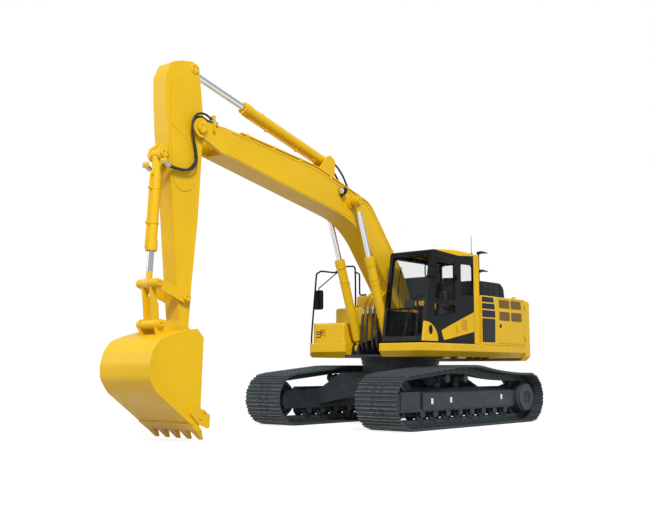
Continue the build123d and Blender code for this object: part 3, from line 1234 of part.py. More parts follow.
def bucket_link():
    """The link from the rod's pin down to the bucket: two cheeks on a web, between a fork and a boss."""
    length = distance(UPPER_LINK_PIN, LOWER_LINK_PIN)
    angle = direction(UPPER_LINK_PIN, LOWER_LINK_PIN)
    rows = [(-50, 20, 30), (80, 50, 60), (length - 60, 30, 0), (length, 40, 0), (length, -50, 0),
            (length - 90, -86, 60), (300, -86, 40), (195, -48, 40), (-40, -48, 30)]
    body = side_form(placed(rows, UPPER_LINK_PIN, angle), -LINK_CHEEK, LINK_CHEEK)
    body += pin(UPPER_LINK_PIN, 66, -ARM_HALF_WIDTH, ARM_HALF_WIDTH)
    for shallow, deep in ((-10, 90), (-120, -46)):
        recess = [(180, shallow, 0), (length - 74, shallow, 0), (length - 74, deep, 0), (180, deep, 0)]
        body -= side_form(placed(recess, UPPER_LINK_PIN, angle), -ROD_SLOT, ROD_SLOT)
    slot = [(-200, -260, 0), (-200, 260, 0), (190, 260, 60), (190, -260, 60)]
    body -= side_form(placed(slot, UPPER_LINK_PIN, angle), -ROD_SLOT, ROD_SLOT)
    body += pin(LOWER_LINK_PIN, 64, -ARM_HALF_WIDTH, ARM_HALF_WIDTH)
    body -= pin(LOWER_LINK_PIN, LINK_PIN_RADIUS + PIN_FIT, -ARM_HALF_WIDTH - 1, ARM_HALF_WIDTH + 1)
    return body


parts["side_links"] = side_links()
parts["bucket_link"] = bucket_link()


# Bucket

def at_bucket(rows):
    return [(BUCKET_PIN[0] + x, BUCKET_PIN[1] + z, r) for x, z, r in rows]


WRAPPER = [(250, 40, 0), (560, -42, 150), (745, -112, 150), (862, -250, 200), (925, -460, 260),
           (918, -645, 260), (790, -838, 260), (70, -1366, 0)]


def bucket():
    """The bucket: a curved back between two side plates, and the ears that its pins go through."""
    half = BUCKET_HALF_WIDTH
    back = side_form(at_bucket(WRAPPER + beside(WRAPPER, -BUCKET_SHELL)[::-1]), -half + 2, half - 2)
    side = WRAPPER[:-1] + [(66, -1360, 0), (22, -1340, 0), (-6, -1030, 0), (-41, -61, 0), (76, 60, 0)]
    for y in (-half, half - BUCKET_SIDE):
        back += side_form(at_bucket(side), y, y + BUCKET_SIDE)
    for outward in (-1, 1):
        low, high = sorted((outward * (half - 4), outward * (half + 22)))
        cutter = [(10, -985, 0), (26, -1054, 0), (-164, -1161, 0), (-162, -1335, 12), (-130, -1356, 0),
                  (36, -1287, 0), (205, -1135, 0), (150, -985, 0)]
        back += side_form(at_bucket(cutter), low, high)
        low, high = sorted((outward * (half - 4), outward * (half + 12)))
        strip = [(770, -850, 0), (160, -1298, 0), (120, -1243, 0), (730, -795, 20)]
        back += side_form(at_bucket(strip), low, high)
        low, high = sorted((outward * EAR_INNER, outward * EAR_OUTER))
        back += link_form(BUCKET_PIN, LOWER_LINK_PIN, 115, 76, low, high)
        back += side_form(at_bucket([(60, -20, 0), (250, 140, 0), (552, 110, 20), (505, -50, 0), (240, 0, 0)]),
                          low, high)
    back += pin(BUCKET_PIN, BUCKET_PIN_RADIUS, -EAR_OUTER - 18, EAR_OUTER + 18)
    back += pin(LOWER_LINK_PIN, LINK_PIN_RADIUS, -EAR_OUTER - 1, EAR_OUTER + 1)
    for outward in (-1, 1):
        low, high = sorted((outward * EAR_OUTER, outward * (EAR_OUTER + 38)))
        back += pin(LOWER_LINK_PIN, 62, low, high)
    lip = [(217, -1276, 0), (80, -1377, 0), (48, -1366, 0), (52, -1345, 0), (190, -1240, 0)]
    back += side_form(at_bucket(lip), -half + 4, half - 4)
    return back


def teeth():
    """Five pointed teeth, which meet at their roots along the lip."""
    shapes = []
    half = BUCKET_HALF_WIDTH
    for i in range(TOOTH_COUNT):
        y = -half + 76 + i * (2 * half - 152) / (TOOTH_COUNT - 1)
        tooth = side_form(at_bucket([(96, -1292, 0), (128, -1322, 0), (-72, -1511, 8), (-100, -1506, 6),
                                     (-40, -1390, 0), (22, -1306, 0)]), y - 130, y + 130)
        taper = [(dy + y, dz + BUCKET_PIN[1], 0) for dy, dz in (
            (-116, -1280), (-116, -1330), (-66, -1400), (-30, -1520), (30, -1520), (66, -1400),
            (116, -1330), (116, -1280))]
        tooth = tooth & front_form(taper, BUCKET_PIN[0] - 200, BUCKET_PIN[0] + 200)
        sides = block((BUCKET_PIN[0] - 200, BUCKET_PIN[0] + 200), (-half, half),
                      (BUCKET_PIN[1] - 1530, BUCKET_PIN[1] - 1270))
        shapes.append(tooth & sides)
    return shapes


parts["bucket"] = bucket()
parts["bucket_teeth"] = Compound([(tooth - parts["bucket"]).solids().sort_by(lambda s: s.volume)[-1]
                                  for tooth in teeth()])


os.makedirs("parts", exist_ok=True)
for name, shape in parts.items():
    export_step(Pos(SWING_X, 0, 0) * shape, f"parts/{name}.step")
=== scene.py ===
"""Dresses the crawler excavator's solids: paint, steel, glass, hoses, small fittings and the stage."""

import math

import bmesh
import bpy
from mathutils import Matrix, Vector


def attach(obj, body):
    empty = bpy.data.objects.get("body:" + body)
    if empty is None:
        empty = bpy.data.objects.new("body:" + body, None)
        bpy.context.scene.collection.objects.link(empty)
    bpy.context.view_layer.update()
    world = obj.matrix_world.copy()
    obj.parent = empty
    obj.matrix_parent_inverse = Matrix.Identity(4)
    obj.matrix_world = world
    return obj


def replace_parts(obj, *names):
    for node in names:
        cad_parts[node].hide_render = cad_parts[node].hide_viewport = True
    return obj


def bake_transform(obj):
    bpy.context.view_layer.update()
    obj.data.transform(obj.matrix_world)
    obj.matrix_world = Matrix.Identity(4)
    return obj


bl_info = {
    "name": "Crawler Excavator",
    "version": (1, 0, 0),
    "blender": (4, 5, 0),
    "location": "View3D > Sidebar > Excavator",
    "description": "Paints and fits out the crawler excavator",
    "category": "Object",
}

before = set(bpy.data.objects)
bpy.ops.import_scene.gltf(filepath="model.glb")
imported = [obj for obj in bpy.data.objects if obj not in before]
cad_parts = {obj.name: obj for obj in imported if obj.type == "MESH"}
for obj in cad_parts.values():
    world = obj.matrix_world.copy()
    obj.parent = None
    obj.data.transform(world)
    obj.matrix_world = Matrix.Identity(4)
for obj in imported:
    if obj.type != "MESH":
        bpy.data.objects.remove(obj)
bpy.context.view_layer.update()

# The swing axis stands this far behind the frame's middle, in metres
SWING_AXIS = 1.77

# The camera stands where the photograph's did, in metres and degrees
CAMERA_PLACE = (12.561, 10.495, 1.018)
CAMERA_HEADING = 40.91
CAMERA_PITCH = -6.825
PICTURE_WIDTH = 650
FOCAL_PIXELS = 912
SENSOR_WIDTH = 36.0

# Side-view places of the pins, in millimetres from the swing axis and the ground
BOOM_FOOT = (-80, 1865)
BOOM_HEADING = 27.26
BOOM_TIP = (5345.2, 4660.4)
ARM_HEADING = -85.8
CYLINDER_BASE = (820, 1400)
BOOM_ROD_PIN = (1759.4, 4013.1)
ARM_BASE_PIN = (2229.8, 4689.6)
ARM_ROD_PIN = (5429.2, 5578.0)
BUCKET_BASE_PIN = (5984.1, 4165.8)
BUCKET_ROD_PIN = (6101.0, 2246.8)
BUCKET_PIN = (5575.0, 1530.8)
SIDE_LINK_PIN = (5560.2, 2060.1)
BUCKET_LINK_PIN = (6063.0, 1657.8)

# Which material each solid wears
SOLID_MATERIALS = {
    "undercarriage_paint": ("carbody", "track_frame_left", "track_frame_right", "revolving_frame",
                            "swing_outer_race", "swing_inner_race"),
    "track_steel": ("track_left", "track_right", "idler_left", "idler_right", "sprocket_left",
                    "sprocket_right", "rollers_left", "rollers_right"),
    "cab_enamel": ("cab_shell", "cab_door"),
    "house_enamel": ("left_house",),
    "black_gloss": ("handrail", "mirror_left", "mirror_right", "antenna", "rear_post", "work_lamp"),
    "hood_plastic": ("engine_hood",),
    "tinted_glass": ("cab_glass", "cab_door_glass"),
    "boom_rod_chrome": ("boom_rod_left", "boom_rod_right"),
    "arm_rod_chrome": ("arm_rod",),
    "bucket_rod_chrome": ("bucket_rod",),
    "moulded_plastic": ("consoles",),
    "seat_cloth": ("seat",),
    "engine_paint": ("engine", "radiator", "pump"),
}


# Places and directions

def at(x, y, z):
    """A place from millimetres ahead of the swing axis, to its left, and above the ground."""
    return Vector((x / 1000 - SWING_AXIS, y / 1000, z / 1000))


def along(base, heading, run, rise=0.0):
    """A side-view place from a pin, an angle in degrees, and millimetres along and across it."""
    a = math.radians(heading)
    return (base[0] + run * math.cos(a) - rise * math.sin(a),
            base[1] + run * math.sin(a) + rise * math.cos(a))


def heading_of(start, end):
    """The angle in degrees of the side-view line from one pin to another."""
    return math.degrees(math.atan2(end[1] - start[1], end[0] - start[0]))


def rectangle(low, high):
    """The four side-view corners between a low and a high one."""
    return [(low[0], low[1]), (high[0], low[1]), (high[0], high[1]), (low[0], high[1])]


def turned_to(direction):
    """The turn that brings the Z axis to a direction."""
    return Vector((0, 0, 1)).rotation_difference(Vector(direction)).to_matrix().to_4x4()


# Forms for the fittings

def add_bar(form, start, end, radius, sides=20, tip=None):
    """A round bar, or a cone where its tip's radius is given."""
    run = end - start
    bmesh.ops.create_cone(form, cap_ends=True, segments=sides, radius1=radius,
                          radius2=radius if tip is None else tip, depth=run.length,
                          matrix=Matrix.Translation((start + end) / 2) @ turned_to(run))


def add_block(form, low, high, bevel=0.0):
    """A block between two corners, with its edges broken."""
    size = high - low
    made = bmesh.ops.create_cube(form, size=1.0,
                                 matrix=Matrix.Translation((low + high) / 2) @ Matrix.Diagonal((*size, 1.0)))
    if bevel:
        edges = list({edge for vert in made["verts"] for edge in vert.link_edges})
        bmesh.ops.bevel(form, geom=edges, offset=bevel, segments=2, affect="EDGES", profile=0.5, material=-1)


def add_plate(form, corners, depth, bevel=0.0):
    """A plate from its corners in order and the vector of its thickness, with its upright edges rounded."""
    face = form.faces.new([form.verts.new(corner) for corner in corners])
    if bevel:
        before = set(form.faces) - {face}
        bmesh.ops.bevel(form, geom=list(face.verts), offset=bevel, segments=4, affect="VERTICES",
                        profile=0.5, material=-1)
        face = max(set(form.faces) - before, key=lambda f: f.calc_area())
    grown = bmesh.ops.extrude_face_region(form, geom=[face], use_keep_orig=True)
    raised = [item for item in grown["geom"] if isinstance(item, bmesh.types.BMVert)]
    bmesh.ops.translate(form, verts=raised, vec=depth)


def add_side_plate(form, corners, side, y, depth, bevel=0.0):
    """A plate of side-view corners on the left or right side, from a distance off the middle outwards."""
    add_plate(form, [at(x, side * y, z) for x, z in corners], Vector((0, side * depth / 1000, 0)), bevel)


def add_copy(form, shape, place):
    """Copies a shape into a form at a place."""
    mesh = bpy.data.meshes.new("copy")
    shape.to_mesh(mesh)
    mesh.transform(place)
    form.from_mesh(mesh)
    bpy.data.meshes.remove(mesh)


def add_turned(form, centre, axis, rows, steps=24):
    """A turned form: rows of (radius, height) in millimetres, spun round an axis."""
    shape = bmesh.new()
    verts = [shape.verts.new((radius / 1000, 0, height / 1000)) for radius, height in rows]
    edges = [shape.edges.new(pair) for pair in zip(verts, verts[1:])]
    bmesh.ops.spin(shape, geom=verts + edges, cent=(0, 0, 0), axis=(0, 0, 1), angle=math.tau, steps=steps,
                   use_merge=True)
    bmesh.ops.remove_doubles(shape, verts=shape.verts, dist=1e-6)
    add_copy(form, shape, Matrix.Translation(centre) @ turned_to(axis))
    shape.free()


def add_bolt(form, place, outward, across):
    """A hexagon bolt head, its width across flats in metres, on its washer."""
    outward = Vector(outward).normalized()
    seat = place + outward * across * 0.16
    add_bar(form, place - outward * 0.002, seat, across * 0.78, 12)
    add_bar(form, seat, seat + outward * across * 0.55, across * 0.58, 6, across * 0.52)


def add_bolt_ring(form, centre, axis, radius, count, across, start=0.0):
    """Bolt heads evenly round a circle."""
    turn = turned_to(axis)
    for i in range(count):
        a = start + math.tau * i / count
        add_bolt(form, centre + turn @ Vector((radius * math.cos(a), radius * math.sin(a), 0)), axis, across)


def line_mesh(points, radius):
    """The mesh of the smooth line that points guide: a tube, or bare points where the radius is 0."""
    line = bpy.data.curves.new("line", "CURVE")
    line.dimensions = "3D"
    spline = line.splines.new("NURBS")
    spline.points.add(len(points) - 1)
    for point, place in zip(spline.points, points):
        point.co = (*place, 1.0)
    spline.order_u = 3
    spline.use_endpoint_u = True
    line.resolution_u = 5
    line.bevel_depth = radius
    line.bevel_resolution = 3
    line.use_fill_caps = True
    carrier = bpy.data.objects.new("line", line)
    mesh = bpy.data.meshes.new_from_object(carrier)
    bpy.data.objects.remove(carrier)
    bpy.data.curves.remove(line)
    return mesh


def add_tube(form, points, radius):
    """A pipe or weld bead round the smooth line that its points guide."""
    mesh = line_mesh(points, radius)
    form.from_mesh(mesh)
    bpy.data.meshes.remove(mesh)


def make_piece(form, name, material):
    """Turns a form into an object with its finish, its faces pointing outwards."""
    bmesh.ops.recalc_face_normals(form, faces=form.faces)
    mesh = bpy.data.meshes.new(name)
    form.to_mesh(mesh)
    form.free()
    mesh.shade_smooth()
    mesh.set_sharp_from_angle(angle=math.radians(38))
    piece = bpy.data.objects.new(name, mesh)
    bpy.context.scene.collection.objects.link(piece)
    paint(piece, material)
    return piece


def fit(form, name, material, body):
    """Makes a piece and fastens it to the body that carries it."""
    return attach(make_piece(form, name, material), body)


def add_fitting(form, place, run):
    """A hose's swaged end with its hexagon nut, from just before the place along the unit vector."""
    foot = place - run * 0.05
    add_bar(form, foot, foot + run * 0.045, 0.03, 6)
    add_bar(form, foot + run * 0.04, foot + run * 0.13, 0.026, 16)


def hang_hose(name, points, radius):
    """A rubber hose along the smooth line that its points guide, kept in place in world space."""
    form = bmesh.new()
    add_tube(form, points, radius)
    hose = make_piece(form, name, "hose_rubber")
    line = line_mesh(points, 0.0)
    bpy.data.meshes.remove(line)
    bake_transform(hose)


# Colours and node helpers

def linear(hex_colour):
    """An sRGB hex colour as linear red, green, blue and alpha."""
    parts = [int(hex_colour[i:i + 2], 16) / 255 for i in (1, 3, 5)]
    return [c / 12.92 if c <= 0.04045 else ((c + 0.055) / 1.055) ** 2.4 for c in parts] + [1.0]


def add_node(tree, kind, inputs=None, **settings):
    """Adds a node with its settings, and sets or links its inputs."""
    node = tree.nodes.new(kind)
    for name, value in settings.items():
        setattr(node, name, value)
    for name, value in (inputs or {}).items():
        socket = node.inputs[name]
        if isinstance(value, bpy.types.NodeSocket):
            tree.links.new(value, socket)
        else:
            socket.default_value = value
    return node


def new_material(name):
    """An empty node material, its tree, and its object coordinates."""
    material = bpy.data.materials.new(name)
    material.use_nodes = True
    tree = material.node_tree
    tree.nodes.clear()
    return material, tree, add_node(tree, "ShaderNodeTexCoord").outputs["Object"]


def clouds(tree, place, size, stops, detail=4.0, roughness=0.55):
    """Soft patches of a size in metres, coloured by rows of (share, colour)."""
    noise = add_node(tree, "ShaderNodeTexNoise",
                     {"Vector": place, "Scale": 1.0 / size, "Detail": detail, "Roughness": roughness})
    node = add_node(tree, "ShaderNodeValToRGB", {"Fac": noise.outputs["Fac"]})
    elements = node.color_ramp.elements
    while len(elements) < len(stops):
        elements.new(0.5)
    for element, (position, colour) in zip(elements, stops):
        element.position = position
        element.color = colour if hasattr(colour, "__len__") else (colour, colour, colour, 1.0)
    return node.outputs["Color"]


def relief(tree, place, size, strength, depth, detail=2.0):
    """The normal of a surface whose grains have a size in metres and stand up by a depth."""
    noise = add_node(tree, "ShaderNodeTexNoise", {"Vector": place, "Scale": 1.0 / size, "Detail": detail})
    return add_node(tree, "ShaderNodeBump", {"Height": noise.outputs["Fac"], "Strength": strength,
                                             "Distance": depth}).outputs["Normal"]


def finish(material, tree, **inputs):
    """Ends a material with the shader that its inputs set."""
    shader = add_node(tree, "ShaderNodeBsdfPrincipled",
                      {name.replace("_", " ").title().replace("Ior", "IOR"): value
                       for name, value in inputs.items()})
    add_node(tree, "ShaderNodeOutputMaterial", {"Surface": shader.outputs[0]})
    return material


# Masks that mark where one paint ends and the next begins

def beyond(tree, place, direction, limit):
    """1 where a place lies further along a direction than a limit in metres."""
    reach = add_node(tree, "ShaderNodeVectorMath", {0: place, 1: direction}, operation="DOT_PRODUCT")
    return add_node(tree, "ShaderNodeMath", {0: reach.outputs["Value"], 1: limit},
                    operation="GREATER_THAN").outputs[0]


def joined(tree, masks, operation):
    """Masks joined into one: MULTIPLY where all must hold, MAXIMUM where any may."""
    result = masks[0]
    for mask in masks[1:]:
        result = add_node(tree, "ShaderNodeMath", {0: result, 1: mask}, operation=operation).outputs[0]
    return result


def inside(tree, place, corners):
    """1 within a convex side-view outline of (x, z) corners."""
    points = [at(x, 0, z) for x, z in corners]
    middle = sum(points, Vector()) / len(points)
    masks = []
    for first, second in zip(points, points[1:] + points[:1]):
        run = second - first
        inward = Vector((run.z, 0, -run.x)).normalized()
        if inward.dot(middle - first) < 0:
            inward = -inward
        masks.append(beyond(tree, place, inward, inward.dot(first)))
    return joined(tree, masks, "MULTIPLY")


def within_oval(tree, place, centre, half_x, half_z):
    """1 within a side-view oval whose centre and halves are in millimetres."""
    offset = add_node(tree, "ShaderNodeVectorMath", {0: place, 1: at(centre[0], 0, centre[1])},
                      operation="SUBTRACT")
    scaled = add_node(tree, "ShaderNodeVectorMath",
                      {0: offset.outputs[0], 1: (1000 / half_x, 0.0, 1000 / half_z)}, operation="MULTIPLY")
    length = add_node(tree, "ShaderNodeVectorMath", {0: scaled.outputs[0]}, operation="LENGTH")
    return add_node(tree, "ShaderNodeMath", {0: length.outputs["Value"], 1: 1.0},
                    operation="LESS_THAN").outputs[0]


# Materials

YELLOW = ("#E3B60F", "#DCAE0C")
BLACK = ("#090C0E", "#06080A")


def sprayed(tree, place, colours):
    """The two tones that an even coat of enamel drifts between over a metre or so."""
    tone, shade = linear(colours[0]), linear(colours[1])
    return clouds(tree, place, 0.8, [(0.30, shade), (0.62, tone)])


def enamel(name, paint_of, roughness, dust=0.0, coat=0.05, shine=0.25):
    """Sprayed machine enamel: an even coat with a faint orange peel, a little dulled by dust."""
    material, tree, place = new_material(name)
    colours = paint_of(tree, place)
    if dust:
        specks = clouds(tree, place, 0.25, [(0.42, 0.0), (0.72, dust)], 6.0, 0.7)
        colours = add_node(tree, "ShaderNodeMix", {0: specks, 6: colours, 7: linear("#7E7768")},
                           data_type="RGBA").outputs[2]
    dulling = clouds(tree, place, 0.11, [(0.35, roughness), (0.75, roughness + 0.16)], 5.0, 0.6)
    return finish(material, tree, base_color=colours, roughness=dulling, specular_ior_level=shine,
                  coat_weight=coat, coat_roughness=0.15, normal=relief(tree, place, 0.004, 0.06, 0.0008))


def yellow_enamel():
    """Machine yellow on thick plate: one even tone with a soft, broad shine."""
    return enamel("yellow_enamel", lambda tree, place: sprayed(tree, place, YELLOW), 0.36)


def undercarriage_paint():
    """Blue-grey frame paint near the ground: dark, half matt, with a little dried dust."""
    return enamel("undercarriage_paint", lambda tree, place: sprayed(tree, place, ("#262D33", "#1D2429")),
                  0.42, 0.10, 0.1)


def black_gloss():
    """Black enamel on rails, mirrors and posts: almost black, with narrow bright edges."""
    return enamel("black_gloss", lambda tree, place: sprayed(tree, place, BLACK), 0.25, 0.0, 0.1, 0.12)


def hood_plastic():
    """The dark hood: a blue-black coat, duller than the cab's, that shows the sky as a pale sheen."""
    return enamel("hood_plastic", lambda tree, place: sprayed(tree, place, ("#161B20", "#101418")),
                  0.42, shine=0.12)


def engine_paint():
    """Grey engine paint under the hood: matt and dusty."""
    return enamel("engine_paint", lambda tree, place: sprayed(tree, place, ("#3C4043", "#2E3234")),
                  0.5, 0.3, 0.0)


# The yellow on the cab's side: a convex side-view outline, the rounded front corner with the lamp's hole
# in it, both as a middle and two halves, and where that corner starts
CAB_PANEL = ((618, 1706), (300, 1822), (-484, 2082), (-484, 1714), (543, 1533))
CAB_CORNER = ((1132, 1528), 404, 330)
CAB_LAMP_HOLE = ((957, 1712), 62, 84)
CAB_CORNER_START = at(722, 0, 1515)
# How far out the yellow starts on the cab's side and on its rear pillar, and the pillar's front edge
CAB_SIDE_Y = 1.325
PILLAR_Y = 1.25
PILLAR_X = at(-492, 0, 0).x
# The roof's ridge in side view, its slopes ahead and behind, and the depth of its yellow edge in metres
ROOF_RIDGE = (20, 3216)
SLOPE_AHEAD = 0.0767
SLOPE_BEHIND = 0.0539
ROOF_EDGE = 0.108
# The dark bands and the bare plate behind the cab, and how far out that side of the house lies
HOUSE_BANDS = (
    ((-640, 2392), (-1096, 2392), (-1132, 2292), (-640, 2292)),
    ((-640, 2268), (-1138, 2268), (-1160, 2162), (-640, 2162)),
    ((-640, 2138), (-1166, 2138), (-1170, 2002), (-640, 2002)),
)
HOUSE_PLATE = ((-640, 1980), (-1166, 1980), (-1152, 1526), (-640, 1526))
HOUSE_SIDE_Y = 1.415
# The painted shade in the gaps between the shoes, on the tracks' outer edge: how far out that lies, each
# run's pitch and first gap in metres, the heights that bound the two runs, and the gap's share of a pitch
SHOE_EDGE_Y = 1.7195
LOWER_RUN = (0.2018, -1.979)
UPPER_RUN = (0.2013, 0.767)
LOWER_RUN_TOP = 0.2
UPPER_RUN_BOTTOM = 0.8
GAP_SHARE = 0.16


def cab_enamel():
    """The cab's paint: black gloss, with yellow on the roof, the rear pillar and the lower panels."""
    def paint_of(tree, place):
        left = beyond(tree, place, (0, 1, 0), CAB_SIDE_Y)
        panel = inside(tree, place, CAB_PANEL)
        corner = within_oval(tree, place, *CAB_CORNER)
        lamp = within_oval(tree, place, *CAB_LAMP_HOLE)
        not_lamp = add_node(tree, "ShaderNodeMath", {0: 1.0, 1: lamp}, operation="SUBTRACT").outputs[0]
        front = joined(tree, [corner, not_lamp, beyond(tree, place, (1, 0, 0), CAB_CORNER_START.x),
                              beyond(tree, place, (0, 0, 1), CAB_CORNER_START.z)], "MULTIPLY")
        low_panels = joined(tree, [left, joined(tree, [panel, front], "MAXIMUM")], "MULTIPLY")
        pillar = joined(tree, [beyond(tree, place, (-1, 0, 0), -PILLAR_X),
                               beyond(tree, place, (0, 1, 0), PILLAR_Y)], "MULTIPLY")
        ridge = at(ROOF_RIDGE[0], 0, ROOF_RIDGE[1])
        ahead = Vector((SLOPE_AHEAD, 0, 1.0))
        behind = Vector((-SLOPE_BEHIND, 0, 1.0))
        roof = joined(tree, [beyond(tree, place, ahead, ahead.dot(ridge) - ROOF_EDGE),
                             beyond(tree, place, behind, behind.dot(ridge) - ROOF_EDGE)], "MULTIPLY")
        yellow = joined(tree, [low_panels, pillar, roof], "MAXIMUM")
        return add_node(tree, "ShaderNodeMix",
                        {0: yellow, 6: sprayed(tree, place, BLACK), 7: sprayed(tree, place, YELLOW)},
                        data_type="RGBA").outputs[2]
    return enamel("cab_enamel", paint_of, 0.24, 0.0, 0.05, 0.12)


def house_enamel():
    """The side of the house: yellow, with navy bands over a bare dark plate."""
    def paint_of(tree, place):
        left = beyond(tree, place, (0, 1, 0), HOUSE_SIDE_Y)
        bands = joined(tree, [inside(tree, place, corners) for corners in HOUSE_BANDS], "MAXIMUM")
        bands = joined(tree, [left, bands], "MULTIPLY")
        plate = joined(tree, [left, inside(tree, place, HOUSE_PLATE)], "MULTIPLY")
        colours = sprayed(tree, place, YELLOW)
        for mask, colour in ((bands, "#05082A"), (plate, "#12161B")):
            colours = add_node(tree, "ShaderNodeMix", {0: mask, 6: colours, 7: linear(colour)},
                               data_type="RGBA").outputs[2]
        return colours
    return enamel("house_enamel", paint_of, 0.36)


def track_steel():
    """Rolled and cast track steel: dark, scuffed brighter where it rubs, with dried dust, and painted shade
    in the shoes' gaps.
    """
    material, tree, place = new_material("track_steel")
    colours = clouds(tree, place, 0.17, [(0.30, linear("#151C23")), (0.55, linear("#222B33")),
                                         (0.80, linear("#343C42"))], 5.0, 0.6)
    rough = clouds(tree, place, 0.17, [(0.3, 0.36), (0.8, 0.62)], 5.0, 0.6)
    edge = joined(tree, [beyond(tree, place, (0, side, 0), SHOE_EDGE_Y) for side in (1, -1)], "MAXIMUM")
    lower = beyond(tree, place, (0, 0, -1), -LOWER_RUN_TOP)
    upper = beyond(tree, place, (0, 0, 1), UPPER_RUN_BOTTOM)
    along_x = add_node(tree, "ShaderNodeSeparateXYZ", {"Vector": place}).outputs["X"]
    shade_marks = []
    for (pitch, first), level in ((LOWER_RUN, lower), (UPPER_RUN, upper)):
        offset = (SWING_AXIS - first) / pitch + GAP_SHARE / 2
        steps = add_node(tree, "ShaderNodeMath", {0: along_x, 1: 1 / pitch, 2: offset},
                         operation="MULTIPLY_ADD").outputs[0]
        share = add_node(tree, "ShaderNodeMath", {0: steps}, operation="FRACT").outputs[0]
        near = add_node(tree, "ShaderNodeMath", {0: share, 1: GAP_SHARE}, operation="LESS_THAN").outputs[0]
        shade_marks.append(joined(tree, [near, level, edge], "MULTIPLY"))
    # Painted shade: near black in the gaps between the shoes along the outer edge of the lower and upper
    # runs
    colours = add_node(tree, "ShaderNodeMix",
                       {0: joined(tree, shade_marks, "MAXIMUM"), 6: colours, 7: linear("#07090A")},
                       data_type="RGBA").outputs[2]
    return finish(material, tree, base_color=colours, metallic=0.3, roughness=rough, specular_ior_level=0.4,
                  normal=relief(tree, place, 0.008, 0.3, 0.002, 3.0))


def worn_steel():
    """Ground-polished steel where soil rubs: bright scratches over dark patches."""
    material, tree, place = new_material("worn_steel")
    colours = clouds(tree, place, 0.07, [(0.32, linear("#3B3E42")), (0.70, linear("#85868A"))], 6.0, 0.65)
    rough = clouds(tree, place, 0.07, [(0.3, 0.55), (0.75, 0.33)], 6.0, 0.65)
    return finish(material, tree, base_color=colours, metallic=0.85, roughness=rough,
                  normal=relief(tree, place, 0.006, 0.35, 0.0015, 3.0))


def zinc_plate():
    """Zinc-plated steel of fittings and bolts: pale grey with a soft shine."""
    material, tree, place = new_material("zinc_plate")
    colours = clouds(tree, place, 0.03, [(0.3, linear("#9A9C9E")), (0.7, linear("#BFC1C2"))])
    return finish(material, tree, base_color=colours, metallic=0.9, roughness=0.38)


def rod_chrome(name, eye, reach):
    """Hard chrome on a ground rod, a mirror with a film of oil, and yellow enamel on its eye."""
    material, tree, place = new_material(name)
    end = within_oval(tree, place, eye, reach, reach)
    colours = add_node(tree, "ShaderNodeMix",
                       {0: end, 6: linear("#C9CCD0"), 7: sprayed(tree, place, YELLOW)},
                       data_type="RGBA").outputs[2]
    metal = add_node(tree, "ShaderNodeMath", {0: 1.0, 1: end}, operation="SUBTRACT").outputs[0]
    film = clouds(tree, place, 0.2, [(0.35, 0.12), (0.75, 0.24)])
    rough = add_node(tree, "ShaderNodeMath", {0: end, 1: 0.22, 2: film}, operation="MULTIPLY_ADD").outputs[0]
    return finish(material, tree, base_color=colours, metallic=metal, roughness=rough)


def boom_rod_chrome():
    return rod_chrome("boom_rod_chrome", BOOM_ROD_PIN, 190)


def arm_rod_chrome():
    return rod_chrome("arm_rod_chrome", ARM_ROD_PIN, 190)


def bucket_rod_chrome():
    return rod_chrome("bucket_rod_chrome", BUCKET_ROD_PIN, 170)


def tinted_glass():
    """Safety glass with a light grey-green tint, clearer face on than at a glance."""
    material, tree, _ = new_material("tinted_glass")
    glance = add_node(tree, "ShaderNodeLayerWeight", {"Blend": 0.5})
    edge = add_node(tree, "ShaderNodeMath", {0: glance.outputs["Facing"], 1: 4.0}, operation="POWER")
    alpha = add_node(tree, "ShaderNodeMath", {0: edge.outputs[0], 1: 0.7, 2: 0.04}, operation="MULTIPLY_ADD",
                     use_clamp=True)
    return finish(material, tree, base_color=linear("#0A1A1C"), roughness=0.02, ior=1.45,
                  alpha=alpha.outputs[0])


def mirror_glass():
    """Silvered mirror glass: it shows what stands behind, a touch blurred."""
    material, tree, place = new_material("mirror_glass")
    rough = clouds(tree, place, 0.05, [(0.4, 0.02), (0.8, 0.08)])
    return finish(material, tree, base_color=linear("#DDE2E6"), metallic=1.0, roughness=rough)


def pale_label():
    """A blank plate of brushed aluminium, almost white."""
    material, tree, place = new_material("pale_label")
    colours = clouds(tree, place, 0.05, [(0.3, linear("#D6DADC")), (0.7, linear("#F0F2F3"))])
    return finish(material, tree, base_color=colours, roughness=0.45)


def lamp_lens():
    """Pressed clear glass of a work lamp over its bright reflector."""
    material, tree, place = new_material("lamp_lens")
    flutes = relief(tree, place, 0.012, 0.8, 0.003)
    return finish(material, tree, base_color=linear("#D9DEE2"), metallic=0.6, roughness=0.12,
                  coat_weight=1.0, coat_roughness=0.03, normal=flutes)


def hose_rubber():
    """Extruded hose rubber: matt black with a faint cloth mark."""
    material, tree, place = new_material("hose_rubber")
    colours = clouds(tree, place, 0.06, [(0.3, linear("#141416")), (0.7, linear("#222326"))])
    return finish(material, tree, base_color=colours, roughness=0.5,
                  normal=relief(tree, place, 0.003, 0.3, 0.0006))


def vent_mesh():
    """Woven wire over the vents, brown with dust; wires 2 mm apart are drawn 9 mm apart to show."""
    material, tree, place = new_material("vent_mesh")
    weave = add_node(tree, "ShaderNodeTexChecker",
                     {"Vector": place, "Scale": 110.0, "Color1": linear("#8A6A22"),
                      "Color2": linear("#3A2A12")})
    dust = clouds(tree, place, 0.12, [(0.4, 0.0), (0.8, 0.5)])
    colours = add_node(tree, "ShaderNodeMix", {0: dust, 6: weave.outputs["Color"], 7: linear("#6B5220")},
                       data_type="RGBA").outputs[2]
    normal = add_node(tree, "ShaderNodeBump",
                      {"Height": weave.outputs["Fac"], "Strength": 0.6, "Distance": 0.002})
    return finish(material, tree, base_color=colours, roughness=0.7, normal=normal.outputs["Normal"])


